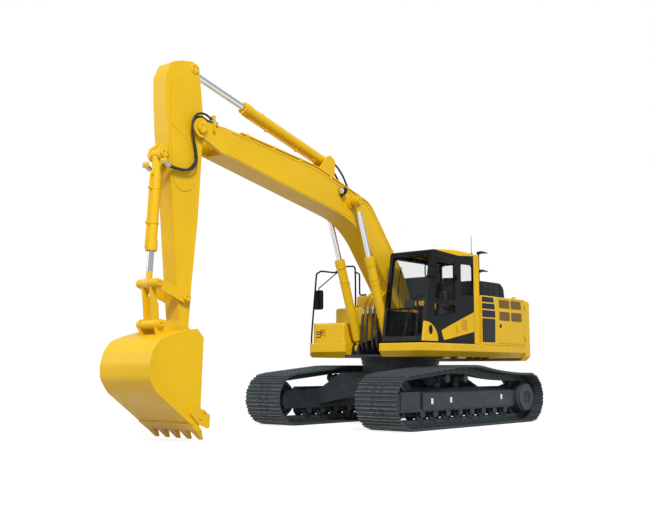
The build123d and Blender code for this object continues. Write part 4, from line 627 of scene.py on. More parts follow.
def seat_cloth():
    """Woven seat cover: dark threads about 3 mm apart."""
    material, tree, place = new_material("seat_cloth")
    weave = add_node(tree, "ShaderNodeTexChecker",
                     {"Vector": place, "Scale": 330.0, "Color1": linear("#2B2C30"),
                      "Color2": linear("#1E1F22")})
    normal = add_node(tree, "ShaderNodeBump",
                      {"Height": weave.outputs["Fac"], "Strength": 0.4, "Distance": 0.001})
    return finish(material, tree, base_color=weave.outputs["Color"], roughness=0.92, sheen_weight=0.3,
                  normal=normal.outputs["Normal"])


def moulded_plastic():
    """Injection-moulded plastic with a fine leather grain."""
    material, tree, place = new_material("moulded_plastic")
    colours = clouds(tree, place, 0.3, [(0.3, linear("#1D1E21")), (0.7, linear("#26272A"))])
    return finish(material, tree, base_color=colours, roughness=0.6,
                  normal=relief(tree, place, 0.0025, 0.35, 0.0008))


def grip_paint():
    """Black anti-slip paint with coarse grit, its grains drawn 6 mm wide so that they show."""
    material, tree, place = new_material("grip_paint")
    colours = clouds(tree, place, 0.006, [(0.35, linear("#111214")), (0.75, linear("#2E3032"))], 1.0)
    return finish(material, tree, base_color=colours, roughness=0.85,
                  normal=relief(tree, place, 0.006, 0.8, 0.003))


MAKERS = {maker.__name__: maker for maker in (
    yellow_enamel, undercarriage_paint, black_gloss, hood_plastic, engine_paint, cab_enamel, house_enamel,
    track_steel, worn_steel, zinc_plate, boom_rod_chrome, arm_rod_chrome, bucket_rod_chrome, tinted_glass,
    mirror_glass, pale_label, lamp_lens, hose_rubber, vent_mesh, seat_cloth, moulded_plastic, grip_paint)}


def material_named(name):
    """The material of that name, made on its first use."""
    return bpy.data.materials.get(name) or MAKERS[name]()


def paint(piece, name):
    """Gives a piece the material of that name and no other."""
    piece.data.materials.clear()
    piece.data.materials.append(material_named(name))


# Sizes and colours that a user would change

class EXCAVATOR_PG_fittings(bpy.types.PropertyGroup):
    """Sizes of the small fittings"""
    bolt_across: bpy.props.FloatProperty(
        name="Bolt Size", description="Width across the flats of the cover bolts", default=0.036,
        min=0.01, max=0.08, unit="LENGTH")
    pipe_radius: bpy.props.FloatProperty(
        name="Pipe Radius", description="Radius of the steel oil pipes on the cylinders", default=0.014,
        min=0.005, max=0.03, unit="LENGTH")
    hose_radius: bpy.props.FloatProperty(
        name="Hose Radius", description="Radius of the rubber oil hoses", default=0.021,
        min=0.008, max=0.04, unit="LENGTH")
    weld_radius: bpy.props.FloatProperty(
        name="Weld Radius", description="Radius of the weld beads on the boom and arm", default=0.007,
        min=0.002, max=0.02, unit="LENGTH")


class EXCAVATOR_PG_studio(bpy.types.PropertyGroup):
    """Light and floor of the studio"""
    floor_colour: bpy.props.FloatVectorProperty(
        name="Floor Colour", description="Colour of the floor under the machine", default=(0.44, 0.40, 0.34),
        size=3, subtype="COLOR")
    key_power: bpy.props.FloatProperty(
        name="Key Lamp", description="Power of the lamp that gives the shadows", default=30000.0,
        min=0.0, unit="POWER")
    fill_power: bpy.props.FloatProperty(
        name="Fill Lamp", description="Power of the lamp that lightens the right side", default=500.0,
        min=0.0, unit="POWER")


class EXCAVATOR_OT_paint_solids(bpy.types.Operator):
    """Gives each solid of the machine its paint, steel, glass or plastic"""
    bl_idname = "excavator.paint_solids"
    bl_label = "Paint Solids"

    def execute(self, context):
        chosen = {node: name for name, nodes in SOLID_MATERIALS.items() for node in nodes}
        for node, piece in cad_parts.items():
            name = chosen.get(node, "yellow_enamel")
            for slot in piece.material_slots:
                slot.material = material_named(name)
        return {"FINISHED"}


# Weld beads: side-view runs and rises from a pin, 25 mm inside the plates' edges
BOOM_WELDS = (
    ((-60, 110), (430, 470), (750, 690), (1150, 862), (1850, 1163), (2149, 1285), (2480, 1240), (3100, 1122),
     (3647, 1022), (4200, 835), (5560, 335)),
    ((230, -95), (640, 80), (720, 130), (955, 290), (1250, 422), (1800, 660), (2294, 868), (2900, 700),
     (4200, 330), (5500, -38)),
)
ARM_WELDS = (
    ((-560, 640), (-255, 608), (187, 545), (943, 402), (2380, 158), (2600, 130), (2928, 62)),
    ((-30, -88), (500, -104), (1400, -100), (2400, -70), (3040, -74)),
)
# Half the widths of the boom and the arm, outside
BOOM_HALF, ARM_HALF = 225, 150
# The plate on the arm's sides in side view, how far out it starts and how thick it is
ARM_PLATE_Y, ARM_PLATE_DEPTH = 149.5, 10
ARM_PLATE = ((5890, 5300), (5760, 5440), (5480, 5480), (5390, 5200), (5290, 4800), (5290, 4560),
             (5330, 4075), (5370, 3820), (5480, 3690), (5610, 3650), (5720, 3680), (5800, 3770),
             (5880, 4400), (5900, 4960))
# The seams across the side plates: body, distance from the middle, upper and lower end in side view
PLATE_SEAMS = (("arm", 160, (5875, 4640), (5560, 4430)), ("arm", 163, (5619, 4919), (5617, 4800)),
               ("boom", 226, (4894, 4700), (4885, 4400)), ("boom", 226, (2062, 4225), (2062, 3820)))
# Bolted caps on the pins' ends: place, distance from the middle, cap radius, body
PIN_CAPS = (
    (BOOM_TIP, 260, 92, "boom"),
    (BOOM_ROD_PIN, 431, 74, "boom"),
    (ARM_ROD_PIN, 150, 82, "arm"),
    (BUCKET_BASE_PIN, 150, 74, "arm"),
    (SIDE_LINK_PIN, 224, 62, "side_links"),
    (BUCKET_ROD_PIN, 224, 52, "side_links"),
    (BUCKET_PIN, 222, 74, "bucket"),
    (BUCKET_LINK_PIN, 242, 48, "bucket"),
)


def fit_welds(sizes, name, base, heading, half, lines):
    """The beads along the boom's or arm's side plates, the seams across them, and the arm's plates."""
    form = bmesh.new()
    for side in (-1, 1):
        for line in lines:
            places = [along(base, heading, run, rise) for run, rise in line]
            add_tube(form, [at(x, side * (half + 1), z) for x, z in places], sizes.weld_radius)
        for body, y, top, low in PLATE_SEAMS:
            if body == name:
                add_tube(form, [at(x, side * y, z) for x, z in (top, low)], sizes.weld_radius)
        if name == "arm":
            add_side_plate(form, ARM_PLATE, side, ARM_PLATE_Y, ARM_PLATE_DEPTH)
    fit(form, f"{name}_welds", "yellow_enamel", name)


def fit_pin_caps(sizes, name, place, half, radius, body):
    """The caps on both ends of a pin, with four bolts each."""
    form = bmesh.new()
    rows = [(0, 9), (radius * 0.35, 9), (radius * 0.45, 12), (radius * 0.9, 12), (radius, 7),
            (radius, -2), (0, -2)]
    for side in (-1, 1):
        centre = at(place[0], side * half, place[1])
        add_turned(form, centre, (0, side, 0), rows, 32)
        add_bolt_ring(form, centre + Vector((0, side * 0.011, 0)), (0, side, 0), radius * 0.00066, 4,
                      sizes.bolt_across * 0.6, 0.6)
    fit(form, name, "yellow_enamel", body)


class EXCAVATOR_OT_booms(bpy.types.Operator):
    """Adds the weld beads and plates of the boom and the arm, and the pins' bolted caps"""
    bl_idname = "excavator.booms"
    bl_label = "Boom and Arm"

    def execute(self, context):
        sizes = context.scene.excavator_fittings
        fit_welds(sizes, "boom", BOOM_FOOT, BOOM_HEADING, BOOM_HALF, BOOM_WELDS)
        fit_welds(sizes, "arm", BOOM_TIP, ARM_HEADING, ARM_HALF, ARM_WELDS)
        for number, cap in enumerate(PIN_CAPS, 1):
            fit_pin_caps(sizes, f"pin_cap_{number}", *cap)
        return {"FINISHED"}


# Bolts through the bucket's side cutters: places in side view, and the distance from the middle
CUTTER_BOLTS = ((5520, 420), (5600, 330))
CUTTER_Y = 580


class EXCAVATOR_OT_bucket(bpy.types.Operator):
    """Adds the bolts of the bucket's side cutters"""
    bl_idname = "excavator.bucket"
    bl_label = "Bucket"

    def execute(self, context):
        sizes = context.scene.excavator_fittings
        form = bmesh.new()
        for side in (-1, 1):
            for x, z in CUTTER_BOLTS:
                add_bolt(form, at(x, side * CUTTER_Y, z), (0, side, 0), sizes.bolt_across)
        fit(form, "cutter_bolts", "yellow_enamel", "bucket")
        return {"FINISHED"}


# Cylinders: node, base pin, rod pin, distance from the middle, barrel's radius, the head's distance from
# the base pin, whether the pipe runs above (1) or below (-1), and body
BARRELS = (
    ("boom_barrel_left", CYLINDER_BASE, BOOM_ROD_PIN, 350, 83, 1730, 1, "boom_barrels"),
    ("boom_barrel_right", CYLINDER_BASE, BOOM_ROD_PIN, -350, 83, 1730, 1, "boom_barrels"),
    ("arm_barrel", ARM_BASE_PIN, ARM_ROD_PIN, 0, 91, 2110, -1, "arm_barrel"),
    ("bucket_barrel", BUCKET_BASE_PIN, BUCKET_ROD_PIN, 0, 76, 1445, 1, "bucket_barrel"),
)
# The pipe's height over the barrel, its ports' distances from the base pin and the head, and its clamps'
# places as shares of the barrel
PIPE_LIFT = 30
PIPE_START, PIPE_END = 300, 60
PIPE_CLAMPS = (0.36, 0.72)


def fit_cylinder_pipe(sizes, name, base, rod_pin, y, barrel, head, pipe_side, body):
    """A cylinder's oil pipe with its clamps and ports, and the bolts of its gland."""
    heading = heading_of(base, rod_pin)
    form = bmesh.new()

    def spot(run, rise, aside=0.0):
        """A place by its distances along the barrel, above its axis and to the left."""
        x, z = along(base, heading, run, rise)
        return at(x, y + aside, z)

    def add_pad(run, half_run, half_width, sunk, height, bevel=0.0):
        """A pad on the barrel where the pipe is held, sunk a little into it."""
        rise = pipe_side * (barrel - sunk)
        corners = [spot(run - half_run, rise, -half_width), spot(run + half_run, rise, -half_width),
                   spot(run + half_run, rise, half_width), spot(run - half_run, rise, half_width)]
        add_plate(form, corners, spot(0, pipe_side * height) - spot(0, 0), bevel)

    lift = pipe_side * (barrel + PIPE_LIFT)
    end = head - PIPE_END
    add_tube(form, [spot(PIPE_START, pipe_side * (barrel - 8)), spot(PIPE_START, lift * 0.93),
                    spot(PIPE_START + 8, lift), spot(PIPE_START + 60, lift), spot(end - 270, lift),
                    spot(end - 60, lift), spot(end - 10, lift), spot(end, lift * 0.93),
                    spot(end, pipe_side * (barrel - 2))], sizes.pipe_radius)
    axis = spot(100, 0) - spot(0, 0)
    band = [(barrel - 4, 0), (barrel + 5, 0), (barrel + 5, 30), (barrel - 4, 30)]
    for share in PIPE_CLAMPS:
        run = head * share
        add_turned(form, spot(run - 15, 0), axis, band, 32)
        add_pad(run, 20, 24, 3, 50)
        add_bolt(form, spot(run, pipe_side * (barrel + 46)), spot(0, pipe_side) - spot(0, 0),
                 sizes.bolt_across * 0.6)
    for run in (PIPE_START, end):
        add_pad(run, 34, 34, 6, 26, 0.008)
    add_bolt_ring(form, spot(head + 1, 0), axis, (barrel - 20) / 1000, 8, sizes.bolt_across * 0.55)
    fit(form, f"{name}_pipes", "yellow_enamel", body)


class EXCAVATOR_OT_cylinders(bpy.types.Operator):
    """Adds each cylinder's oil pipe, its clamps, ports and the bolts of its gland"""
    bl_idname = "excavator.cylinders"
    bl_label = "Cylinders"

    def execute(self, context):
        for barrel in BARRELS:
            fit_cylinder_pipe(context.scene.excavator_fittings, *barrel)
        return {"FINISHED"}


# The places of (x, z) that each kind of hose passes, in side view
FOOT_HOSE = ((608, 2478), (700, 2440), (800, 2350), (870, 2230), (905, 2120), (940, 1980), (955, 1860),
             (972, 1650), (975, 1480), (930, 1370), (800, 1325), (600, 1313), (330, 1311))
CYLINDER_HOSE = ((2330, 4700), (2250, 4745), (2150, 4735), (1990, 4660), (1830, 4530), (1720, 4380),
                 (1650, 4250), (1560, 4150))
TIP_HOSE = ((5085, 4790), (5179, 4840), (5290, 4886), (5430, 4868), (5520, 4770), (5545, 4640), (5520, 4512),
            (5466, 4330), (5431, 4138), (5455, 4043), (5560, 3970), (5720, 3945), (5890, 3957), (5975, 3985),
            (6010, 4010))
# Each foot hose's distances from the middle above and below, and the place from which the hoses spread
FOOT_LANES = ((-170, -190), (-62, -70), (60, 80), (160, 200))
FOOT_SPREAD = 4
# The two hoses on each side of the boom's tip: distance from the middle, and how much tighter the arc is,
# which holds up to a distance from the pin
TIP_LANES = ((240, 0.0), (196, 46.0))
TIP_ARC_REACH = 700
# The hoses' radii at the tip and on the arm cylinder as a share of those at the foot
THIN_HOSE = 0.85
# The brackets that hold the tip hoses' ends: name, body, low and high corner on the left side
HOSE_BRACKETS = (("boom_hose_brackets", "boom", (5090, 165, 4640), (5122, 268, 4895)),
                 ("arm_hose_brackets", "arm", (6028, 149, 3990), (6058, 268, 4068)))


def foot_route(top, low):
    """A foot hose's way: in its upper lane at first, and then across to its lower one."""
    last = len(FOOT_HOSE) - 1
    return [at(x, top + (low - top) * max(i - FOOT_SPREAD, 0) / (last - FOOT_SPREAD), z)
            for i, (x, z) in enumerate(FOOT_HOSE)]


def tip_route(side, y, shrink):
    """A hose's way round the boom's tip, drawn in towards the pin there."""
    points = []
    for x, z in TIP_HOSE:
        away = math.hypot(x - BOOM_TIP[0], z - BOOM_TIP[1])
        inward = shrink / away if away < TIP_ARC_REACH else 0.0
        points.append(at(x + (BOOM_TIP[0] - x) * inward, side * y, z + (BOOM_TIP[1] - z) * inward))
    return points


def hang_tip_hoses(radius):
    """The two hoses on each side of the boom's tip, each with its fitting on the arm."""
    for side, side_name in ((-1, "right"), (1, "left")):
        for number, (y, shrink) in enumerate(TIP_LANES, 1):
            points = tip_route(side, y, shrink)
            form = bmesh.new()
            add_fitting(form, points[-1], Vector((-0.8, 0, -0.6)))
            end = fit(form, f"arm_fitting_{side_name}_{number}", "zinc_plate", "arm")
            hang_hose(f"boom_tip_hose_{side_name}_{number}", points, radius)


def fit_foot_ends(sizes):
    """The sleeves round the foot hoses' upper ends, and the fittings where the sleeves end."""
    form = bmesh.new()
    for top, _ in FOOT_LANES:
        add_tube(form, [at(x, top, z) for x, z in FOOT_HOSE[:5]], sizes.hose_radius * 1.15)
    sleeves = make_piece(form, "boom_foot_sleeves", "yellow_enamel")
    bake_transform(sleeves)
    form = bmesh.new()
    for top, _ in FOOT_LANES:
        add_fitting(form, at(FOOT_HOSE[4][0], top, FOOT_HOSE[4][1]), Vector((0.27, 0, -0.96)))
    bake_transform(make_piece(form, "boom_foot_fittings", "zinc_plate"))


class EXCAVATOR_OT_hoses(bpy.types.Operator):
    """Adds the oil hoses at the boom's foot, round its tip and on the arm cylinder, with their fittings"""
    bl_idname = "excavator.hoses"
    bl_label = "Hoses"

    def execute(self, context):
        sizes = context.scene.excavator_fittings
        thin = sizes.hose_radius * THIN_HOSE
        for number, (top, low) in enumerate(FOOT_LANES, 1):
            hang_hose(f"boom_foot_hose_{number}", foot_route(top, low), sizes.hose_radius)
        form = bmesh.new()
        add_block(form, at(180, -240, 1284), at(300, 240, 1360), 0.008)
        for _, low in FOOT_LANES:
            add_bar(form, at(300, low, 1320), at(360, low, 1320), 0.027, 6)
        fit(form, "hose_block", "zinc_plate", "house")
        hang_tip_hoses(thin)
        for number, y in enumerate((-75, 75), 1):
            hang_hose(f"arm_cylinder_hose_{number}", [at(x, y, z) for x, z in CYLINDER_HOSE], thin)
        fit_foot_ends(sizes)
        form = bmesh.new()
        for y in (240, 196, -240, -196):
            add_fitting(form, at(TIP_HOSE[0][0], y, TIP_HOSE[0][1]), Vector((0.9, 0, 0.44)))
        fit(form, "boom_hose_fittings", "zinc_plate", "boom")
        for name, body, low, high in HOSE_BRACKETS:
            form = bmesh.new()
            for side in (-1, 1):
                right, left = sorted((side * low[1], side * high[1]))
                add_block(form, at(low[0], right, low[2]), at(high[0], left, high[2]), 0.004)
            fit(form, name, "yellow_enamel", body)
        return {"FINISHED"}


# The side doors' outer face, the lock in it, and the vents' corners in side view
DOOR_Y = 1424
DOOR_LOCK = (-1368, 1852)
VENT_SCREENS = (
    ((-1300, 2364), (-1690, 2364), (-1728, 2201), (-1322, 2201)),
    ((-1758, 2364), (-2140, 2364), (-2196, 2201), (-1780, 2201)),
    ((-1322, 2133), (-1722, 2133), (-1722, 1959), (-1322, 1959)),
    ((-1781, 2133), (-2194, 2133), (-2194, 1959), (-1781, 1959)),
)
# The lifting eyes' places on the counterweight, and the bend of one, across and up in metres
EYE_PLACES = ((-2560, -1050, 2396), (-2560, 1050, 2396))
EYE_BEND = ((-0.06, 0), (-0.06, 0.07), (0, 0.11), (0.06, 0.07), (0.06, 0))
# Anti-slip strips where a foot is set: low and high corners
GRIP_STRIPS = (((560, -1340, 1888), (1060, -560, 1894)), ((610, -1405, 1508), (1105, -1390, 1512)),
               ((900, 520, 1478), (1200, 1340, 1484)), ((-1080, -1390, 2413), (-760, -800, 2419)))
# The black strips of painted shade in the step box's front slots: height and left end of each
STEP_SLOTS = ((1728, -987), (1684, -1010), (1628, -1049))
# The rear ends of the brackets below the left deck
DECK_BRACKETS = (1000, 560, 120, -420, -700, -980)


def fit_door(side, body):
    """A side door's vent screens and its lock."""
    form = bmesh.new()
    for corners in VENT_SCREENS:
        add_side_plate(form, corners, side, DOOR_Y + 0.5, 3, 0.03)
    fit(form, f"{body}_screens", "vent_mesh", body)
    form = bmesh.new()
    lock = at(DOOR_LOCK[0], side * DOOR_Y, DOOR_LOCK[1])
    add_turned(form, lock, (0, side, 0), [(0, 5), (16, 5), (22, 3), (40, 3), (44, 0), (0, 0)], 24)
    right, left = sorted((side * -0.002, side * 0.008))
    add_block(form, lock + Vector((-0.004, right, -0.02)), lock + Vector((0.004, left, 0.02)), 0.002)
    fit(form, f"{body}_lock", "black_gloss", body)


def fit_caps_and_eyes(sizes):
    """The fuel tank's filler cap, the hydraulic tank's bolted cover and the counterweight's eyes."""
    form = bmesh.new()
    add_turned(form, at(260, -900, 2213), (0, 0, 1),
               [(0, 62), (50, 62), (62, 54), (64, 16), (84, 14), (84, 0), (0, 0)], 32)
    add_turned(form, at(-380, -840, 2493), (0, 0, 1),
               [(0, 26), (80, 26), (92, 18), (92, 8), (120, 8), (120, 0), (0, 0)], 32)
    add_bolt_ring(form, at(-380, -840, 2500), (0, 0, 1), 0.106, 8, sizes.bolt_across * 0.7)
    for place in EYE_PLACES:
        add_tube(form, [at(*place) + Vector((0, aside, up)) for aside, up in EYE_BEND], 0.016)
    fit(form, "caps_and_eyes", "yellow_enamel", "house")


def fit_steps():
    """The anti-slip strips, the black strips of painted shade in the step box's slots, and a small black
    block on a front face 483 mm ahead.
    """
    form = bmesh.new()
    for low, high in GRIP_STRIPS:
        add_block(form, at(*low), at(*high), 0.001)
    fit(form, "grip_strips", "grip_paint", "house")
    form = bmesh.new()
    # Painted shade: black strips where the step box's slots are
    for z, end in STEP_SLOTS:
        add_block(form, at(1117, -1173, z - 10), at(1122, end, z + 10), 0.002)
    add_block(form, at(483, -893, 2002), at(489, -800, 2044), 0.003)
    fit(form, "step_slot_shade", "black_gloss", "house")


def fit_house_bolts(sizes):
    """The bolts along the house's sides and across its top, and the brackets below the left deck."""
    form = bmesh.new()
    for x in range(-2240, 1200, 320):
        for side in (-1, 1):
            add_bolt(form, at(x, side * DOOR_Y, 1440), (0, side, 0), sizes.bolt_across * 0.55)
    for y in range(-1200, 1300, 240):
        add_bolt(form, at(-1140, y, 2414), (0, 0, 1), sizes.bolt_across * 0.5)
    fit(form, "panel_bolts", "yellow_enamel", "house")
    form = bmesh.new()
    for x in DECK_BRACKETS:
        add_block(form, at(x, 1250, 1212), at(x + 60, 1390, 1243), 0.006)
        add_bolt(form, at(x + 30, 1320, 1213), (0, 0, -1), sizes.bolt_across * 0.8)
    fit(form, "deck_brackets", "undercarriage_paint", "house")


class EXCAVATOR_OT_house(bpy.types.Operator):
    """Adds the house's vent screens, locks, caps, eyes, grip strips, the step slots' painted shade, bolts
    and deck brackets
    """
    bl_idname = "excavator.house"
    bl_label = "House"

    def execute(self, context):
        sizes = context.scene.excavator_fittings
        fit_door(1, "left_side_door")
        fit_door(-1, "right_side_door")
        fit_caps_and_eyes(sizes)
        fit_steps()
        fit_house_bolts(sizes)
        return {"FINISHED"}


# The field of air slots in the hood's left face, in side view, and its rows and columns
SLOTS_REAR, SLOTS_FRONT = -1960, -1330
SLOTS_LOW, SLOTS_HIGH = 2500, 2690
SLOT_ROWS, SLOT_COLUMNS = 5, 3
# One handle on the hood's rear in top view: place ahead, place across from its middle, and height
HOOD_HANDLE = ((-2235, -70, 2500), (-2275, -70, 2504), (-2292, -40, 2506),
               (-2292, 40, 2506), (-2275, 70, 2504), (-2235, 70, 2500))


class EXCAVATOR_OT_hood(bpy.types.Operator):
    """Adds the hood's air slots and its handles"""
    bl_idname = "excavator.hood"
    bl_label = "Engine Hood"

    def execute(self, context):
        form = bmesh.new()
        width = (SLOTS_FRONT - SLOTS_REAR) / SLOT_COLUMNS
        for row in range(SLOT_ROWS):
            z = SLOTS_LOW + (SLOTS_HIGH - SLOTS_LOW) * row / (SLOT_ROWS - 1)
            for column in range(SLOT_COLUMNS):
                x = SLOTS_REAR + width * column
                add_block(form, at(x, 1036, z - 8), at(x + width - 40, 1044, z + 8), 0.004)
        for column in range(9):
            for row in range(3):
                x, y = -1330 - row * 230, -700 + column * 62
                add_block(form, at(x - 180, y, 2921), at(x, y + 30, 2928), 0.003)
        fit(form, "hood_slots", "moulded_plastic", "engine_hood")
        form = bmesh.new()
        for middle in (-500, 700):
            add_tube(form, [at(x, middle + aside, z) for x, aside, z in HOOD_HANDLE], 0.009)
        fit(form, "hood_handles", "black_gloss", "engine_hood")
        return {"FINISHED"}


# The windscreen in side view: its foot, its brow, and its height
SCREEN_FOOT = (1175, 1550)
SCREEN_BROW_X = 880
SCREEN_HEIGHT = 1620
# The wiper's pivot, and the ways of its arm and blade: place across, height, and distance off the glass
WIPER_PIVOT = (820, 2070)
WIPER_ARM = ((820, 2070, 26), (790, 2150, 26), (740, 2420, 24), (720, 2560, 18))
WIPER_BLADE = ((700, 2300, 8), (714, 2500, 8), (730, 2800, 8), (736, 2860, 8))
# The mirrors' faces: how far ahead, right and left edge, lower and upper edge
MIRROR_FACES = ((936.5, 1416, 1544, 2571, 2829), (881.5, -1388, -1212, 2210, 2520))
# The stand of the cab's screen, and a lever's knob as turned rows, with the levers' places across
MONITOR_STAND = ((590, 640, 2130), (600, 600, 1900), (620, 560, 1700), (640, 520, 1560))
LEVER_KNOB = [(0, 60), (20, 56), (28, 36), (24, 6), (14, 0), (0, 0)]
LEVER_LANES = (593, 1227)


def screen_place(y, z, off):
    """A place before the windscreen by its place across, its height and its distance off the glass."""
    lean = (SCREEN_BROW_X - SCREEN_FOOT[0]) / SCREEN_HEIGHT
    return at(SCREEN_FOOT[0] + lean * (z - SCREEN_FOOT[1]) + off, y, z)


def fit_wiper():
    """The wiper's pivot, arm and blade."""
    form = bmesh.new()
    add_bar(form, screen_place(*WIPER_PIVOT, 4), screen_place(*WIPER_PIVOT, 34), 0.022, 16)
    add_tube(form, [screen_place(*place) for place in WIPER_ARM], 0.007)
    add_tube(form, [screen_place(*place) for place in WIPER_BLADE], 0.008)
    fit(form, "wiper", "black_gloss", "house")


def fit_roof_liner():
    """The ribs of the liner below the cab's roof, which falls both ways from its ridge."""
    form = bmesh.new()
    for step in range(15):
        x = -560 + step * 92
        slope = SLOPE_AHEAD if x > ROOF_RIDGE[0] else SLOPE_BEHIND
        roof = ROOF_RIDGE[1] - abs(x - ROOF_RIDGE[0]) * slope - 62
        add_block(form, at(x, 520, roof - 26), at(x + 50, 1300, roof + 10), 0.006)
    fit(form, "roof_liner", "moulded_plastic", "house")


def fit_glass():
    """The silvered faces of both mirrors, and the work lamp's lens."""
    form = bmesh.new()
    for x, right, left, low, high in MIRROR_FACES:
        corners = [at(x, right, low), at(x, left, low), at(x, left, high), at(x, right, high)]
        add_plate(form, corners, Vector((-0.003, 0, 0)), 0.02)
    fit(form, "mirror_glass", "mirror_glass", "house")
    form = bmesh.new()
    add_turned(form, at(2119, 300, 4158), (1, 0, -0.13), [(0, 12), (30, 10), (52, 4), (56, 0), (0, 0)], 32)
    fit(form, "work_lamp_lens", "lamp_lens", "boom")


def fit_controls():
    """The steering column, the screen on its stand, and the knobs of the two levers."""
    form = bmesh.new()
    add_bar(form, at(560, 910, 1540), at(500, 910, 2150), 0.03, 16)
    add_block(form, at(560, 560, 2130), at(610, 760, 2290), 0.008)
    add_tube(form, [at(*place) for place in MONITOR_STAND], 0.014)
    for y in LEVER_LANES:
        add_turned(form, at(270, y, 2378), (0.1, 0, 1), LEVER_KNOB, 20)
    fit(form, "cab_controls", "moulded_plastic", "house")


class EXCAVATOR_OT_cab(bpy.types.Operator):
    """Adds the cab's wiper, roof liner and controls, the mirrors' glass and the work lamp's lens"""
    bl_idname = "excavator.cab"
    bl_label = "Cab"

    def execute(self, context):
        fit_wiper()
        fit_roof_liner()
        fit_glass()
        fit_controls()
        return {"FINISHED"}


# The belt in side view: wheel base, radius over the grousers, grousers' height, the carriers' places, the
# belt's height over them and their radius, the slack's sag, and the shoes' pitch
WHEEL_BASE, END_RADIUS, GROUSER = 4030, 475, 26
CARRIER_X, CARRIER_TOP, CARRIER_RADIUS, TRACK_SAG, SHOE_PITCH = (480, -110), 1093, 78, 42, 203
# The belts' middles, half the shoes' width, and the chain rails' and shoes' sizes
BELT_Y, SHOE_HALF, RAIL_OUTER, RAIL_SPREAD, SHOE_PLATE, CHAIN_DEPTH = 1295, 425, 100, 78, 14, 115
# The seat's cushions: name, middle, size along x, y and z in metres, and lean in degrees
CUSHIONS = (("seat_cushion", (-20, 910, 1930), (0.38, 0.46, 0.09), -3),
            ("seat_back", (-335, 910, 2250), (0.09, 0.46, 0.52), -10),
            ("head_rest", (-392, 910, 2680), (0.07, 0.30, 0.17), -6))
# A cushion's rounding and the mesh that its cover swells in, and how far a point may move, in metres
CUSHION_ROUNDING, COVER_MESH, COVER_MOVES = 0.028, 0.009, 0.014
# The seat's foot, its suspension and its pan as low and high corners, and its head rest's bars across
SEAT_BLOCKS = (((-320, 680, 1540), (95, 1140, 1660)), ((-260, 740, 1650), (60, 1080, 1800)),
               ((-330, 665, 1795), (180, 1155, 1870)))
HEAD_REST_BARS = (830, 990)


def swell(piece, cap):
    """Swells a cover as the foam in it does: cloth under pressure, each point held to a longest way."""
    cloth = piece.modifiers.new("cover", "CLOTH")
    cloth.settings.use_pressure = True
    cloth.settings.uniform_pressure_force = 4.0
    cloth.settings.effector_weights.gravity = 0.0
    starts = [vert.co.copy() for vert in piece.data.vertices]
    for step in range(1, 21):
        bpy.context.scene.frame_set(step)
    swollen = bpy.data.meshes.new_from_object(piece.evaluated_get(bpy.context.evaluated_depsgraph_get()))
    piece.modifiers.remove(cloth)
    piece.data = swollen
    for vert, start in zip(swollen.vertices, starts):
        way = vert.co - start
        if way.length > cap:
            vert.co = start + way.normalized() * cap
    bpy.context.scene.frame_set(1)


def make_cushion(name, middle, size, lean):
    """A foam cushion in its cover, which the simulation swells."""
    form = bmesh.new()
    half = Vector(size) / 2
    add_block(form, -half, half, CUSHION_ROUNDING)
    bmesh.ops.transform(form, verts=form.verts, matrix=Matrix.Translation(at(*middle))
                        @ Matrix.Rotation(math.radians(lean), 4, "Y"))
    piece = make_piece(form, name, "seat_cloth")
    grid = piece.modifiers.new("grid", "REMESH")
    grid.mode = "VOXEL"
    grid.voxel_size = COVER_MESH
    evened = bpy.data.meshes.new_from_object(piece.evaluated_get(bpy.context.evaluated_depsgraph_get()))
    piece.modifiers.remove(grid)
    piece.data = evened
    swell(piece, COVER_MOVES)
    piece.data.shade_smooth()
    paint(piece, "seat_cloth")
    finer = piece.modifiers.new("finer", "SUBSURF")
    finer.levels = 1
    finer.render_levels = 1
    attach(piece, "house")


class EXCAVATOR_OT_seat(bpy.types.Operator):
    """Adds the operator's seat: a moulded base under three foam cushions in woven covers"""
    bl_idname = "excavator.seat"
    bl_label = "Seat"

    def execute(self, context):
        form = bmesh.new()
        for low, high in SEAT_BLOCKS:
            add_block(form, at(*low), at(*high), 0.02)
        for y in HEAD_REST_BARS:
            add_bar(form, at(-410, y, 2480), at(-425, y, 2640), 0.010, 12)
        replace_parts(fit(form, "seat_base", "moulded_plastic", "house"), "seat")
        for cushion in CUSHIONS:
            make_cushion(*cushion)
        return {"FINISHED"}


# The track frames' side panels as low and high corners in side view, and the bright plates' middles on them
SIDE_PANELS = (((-1640, 330), (1430, 612)), ((1560, 345), (2060, 590)))
SIDE_PANEL_Y, SIDE_PANEL_DEPTH = 1500.5, 10
BRIGHT_PLATES = ((1150, 470), (560, 480), (-1180, 500))
# The sprockets' middle, and how far out their hubs' faces lie
SPROCKET_HUB = (-2015, 475)
SPROCKET_HUB_Y = 1601
# The bottom rollers' count and spacing, and how far out and how high the bolts beside them stand
ROLLER_COUNT, ROLLER_SPACING = 8, 395
ROLLER_BOLT_Y, ROLLER_BOLT_Z = 1447, 235
# The bolt heads over a shoe as shares of its length, and its three grousers likewise
SHOE_BOLTS = (0.315, 0.685)
GROUSERS = (0.13, 0.5, 0.87)


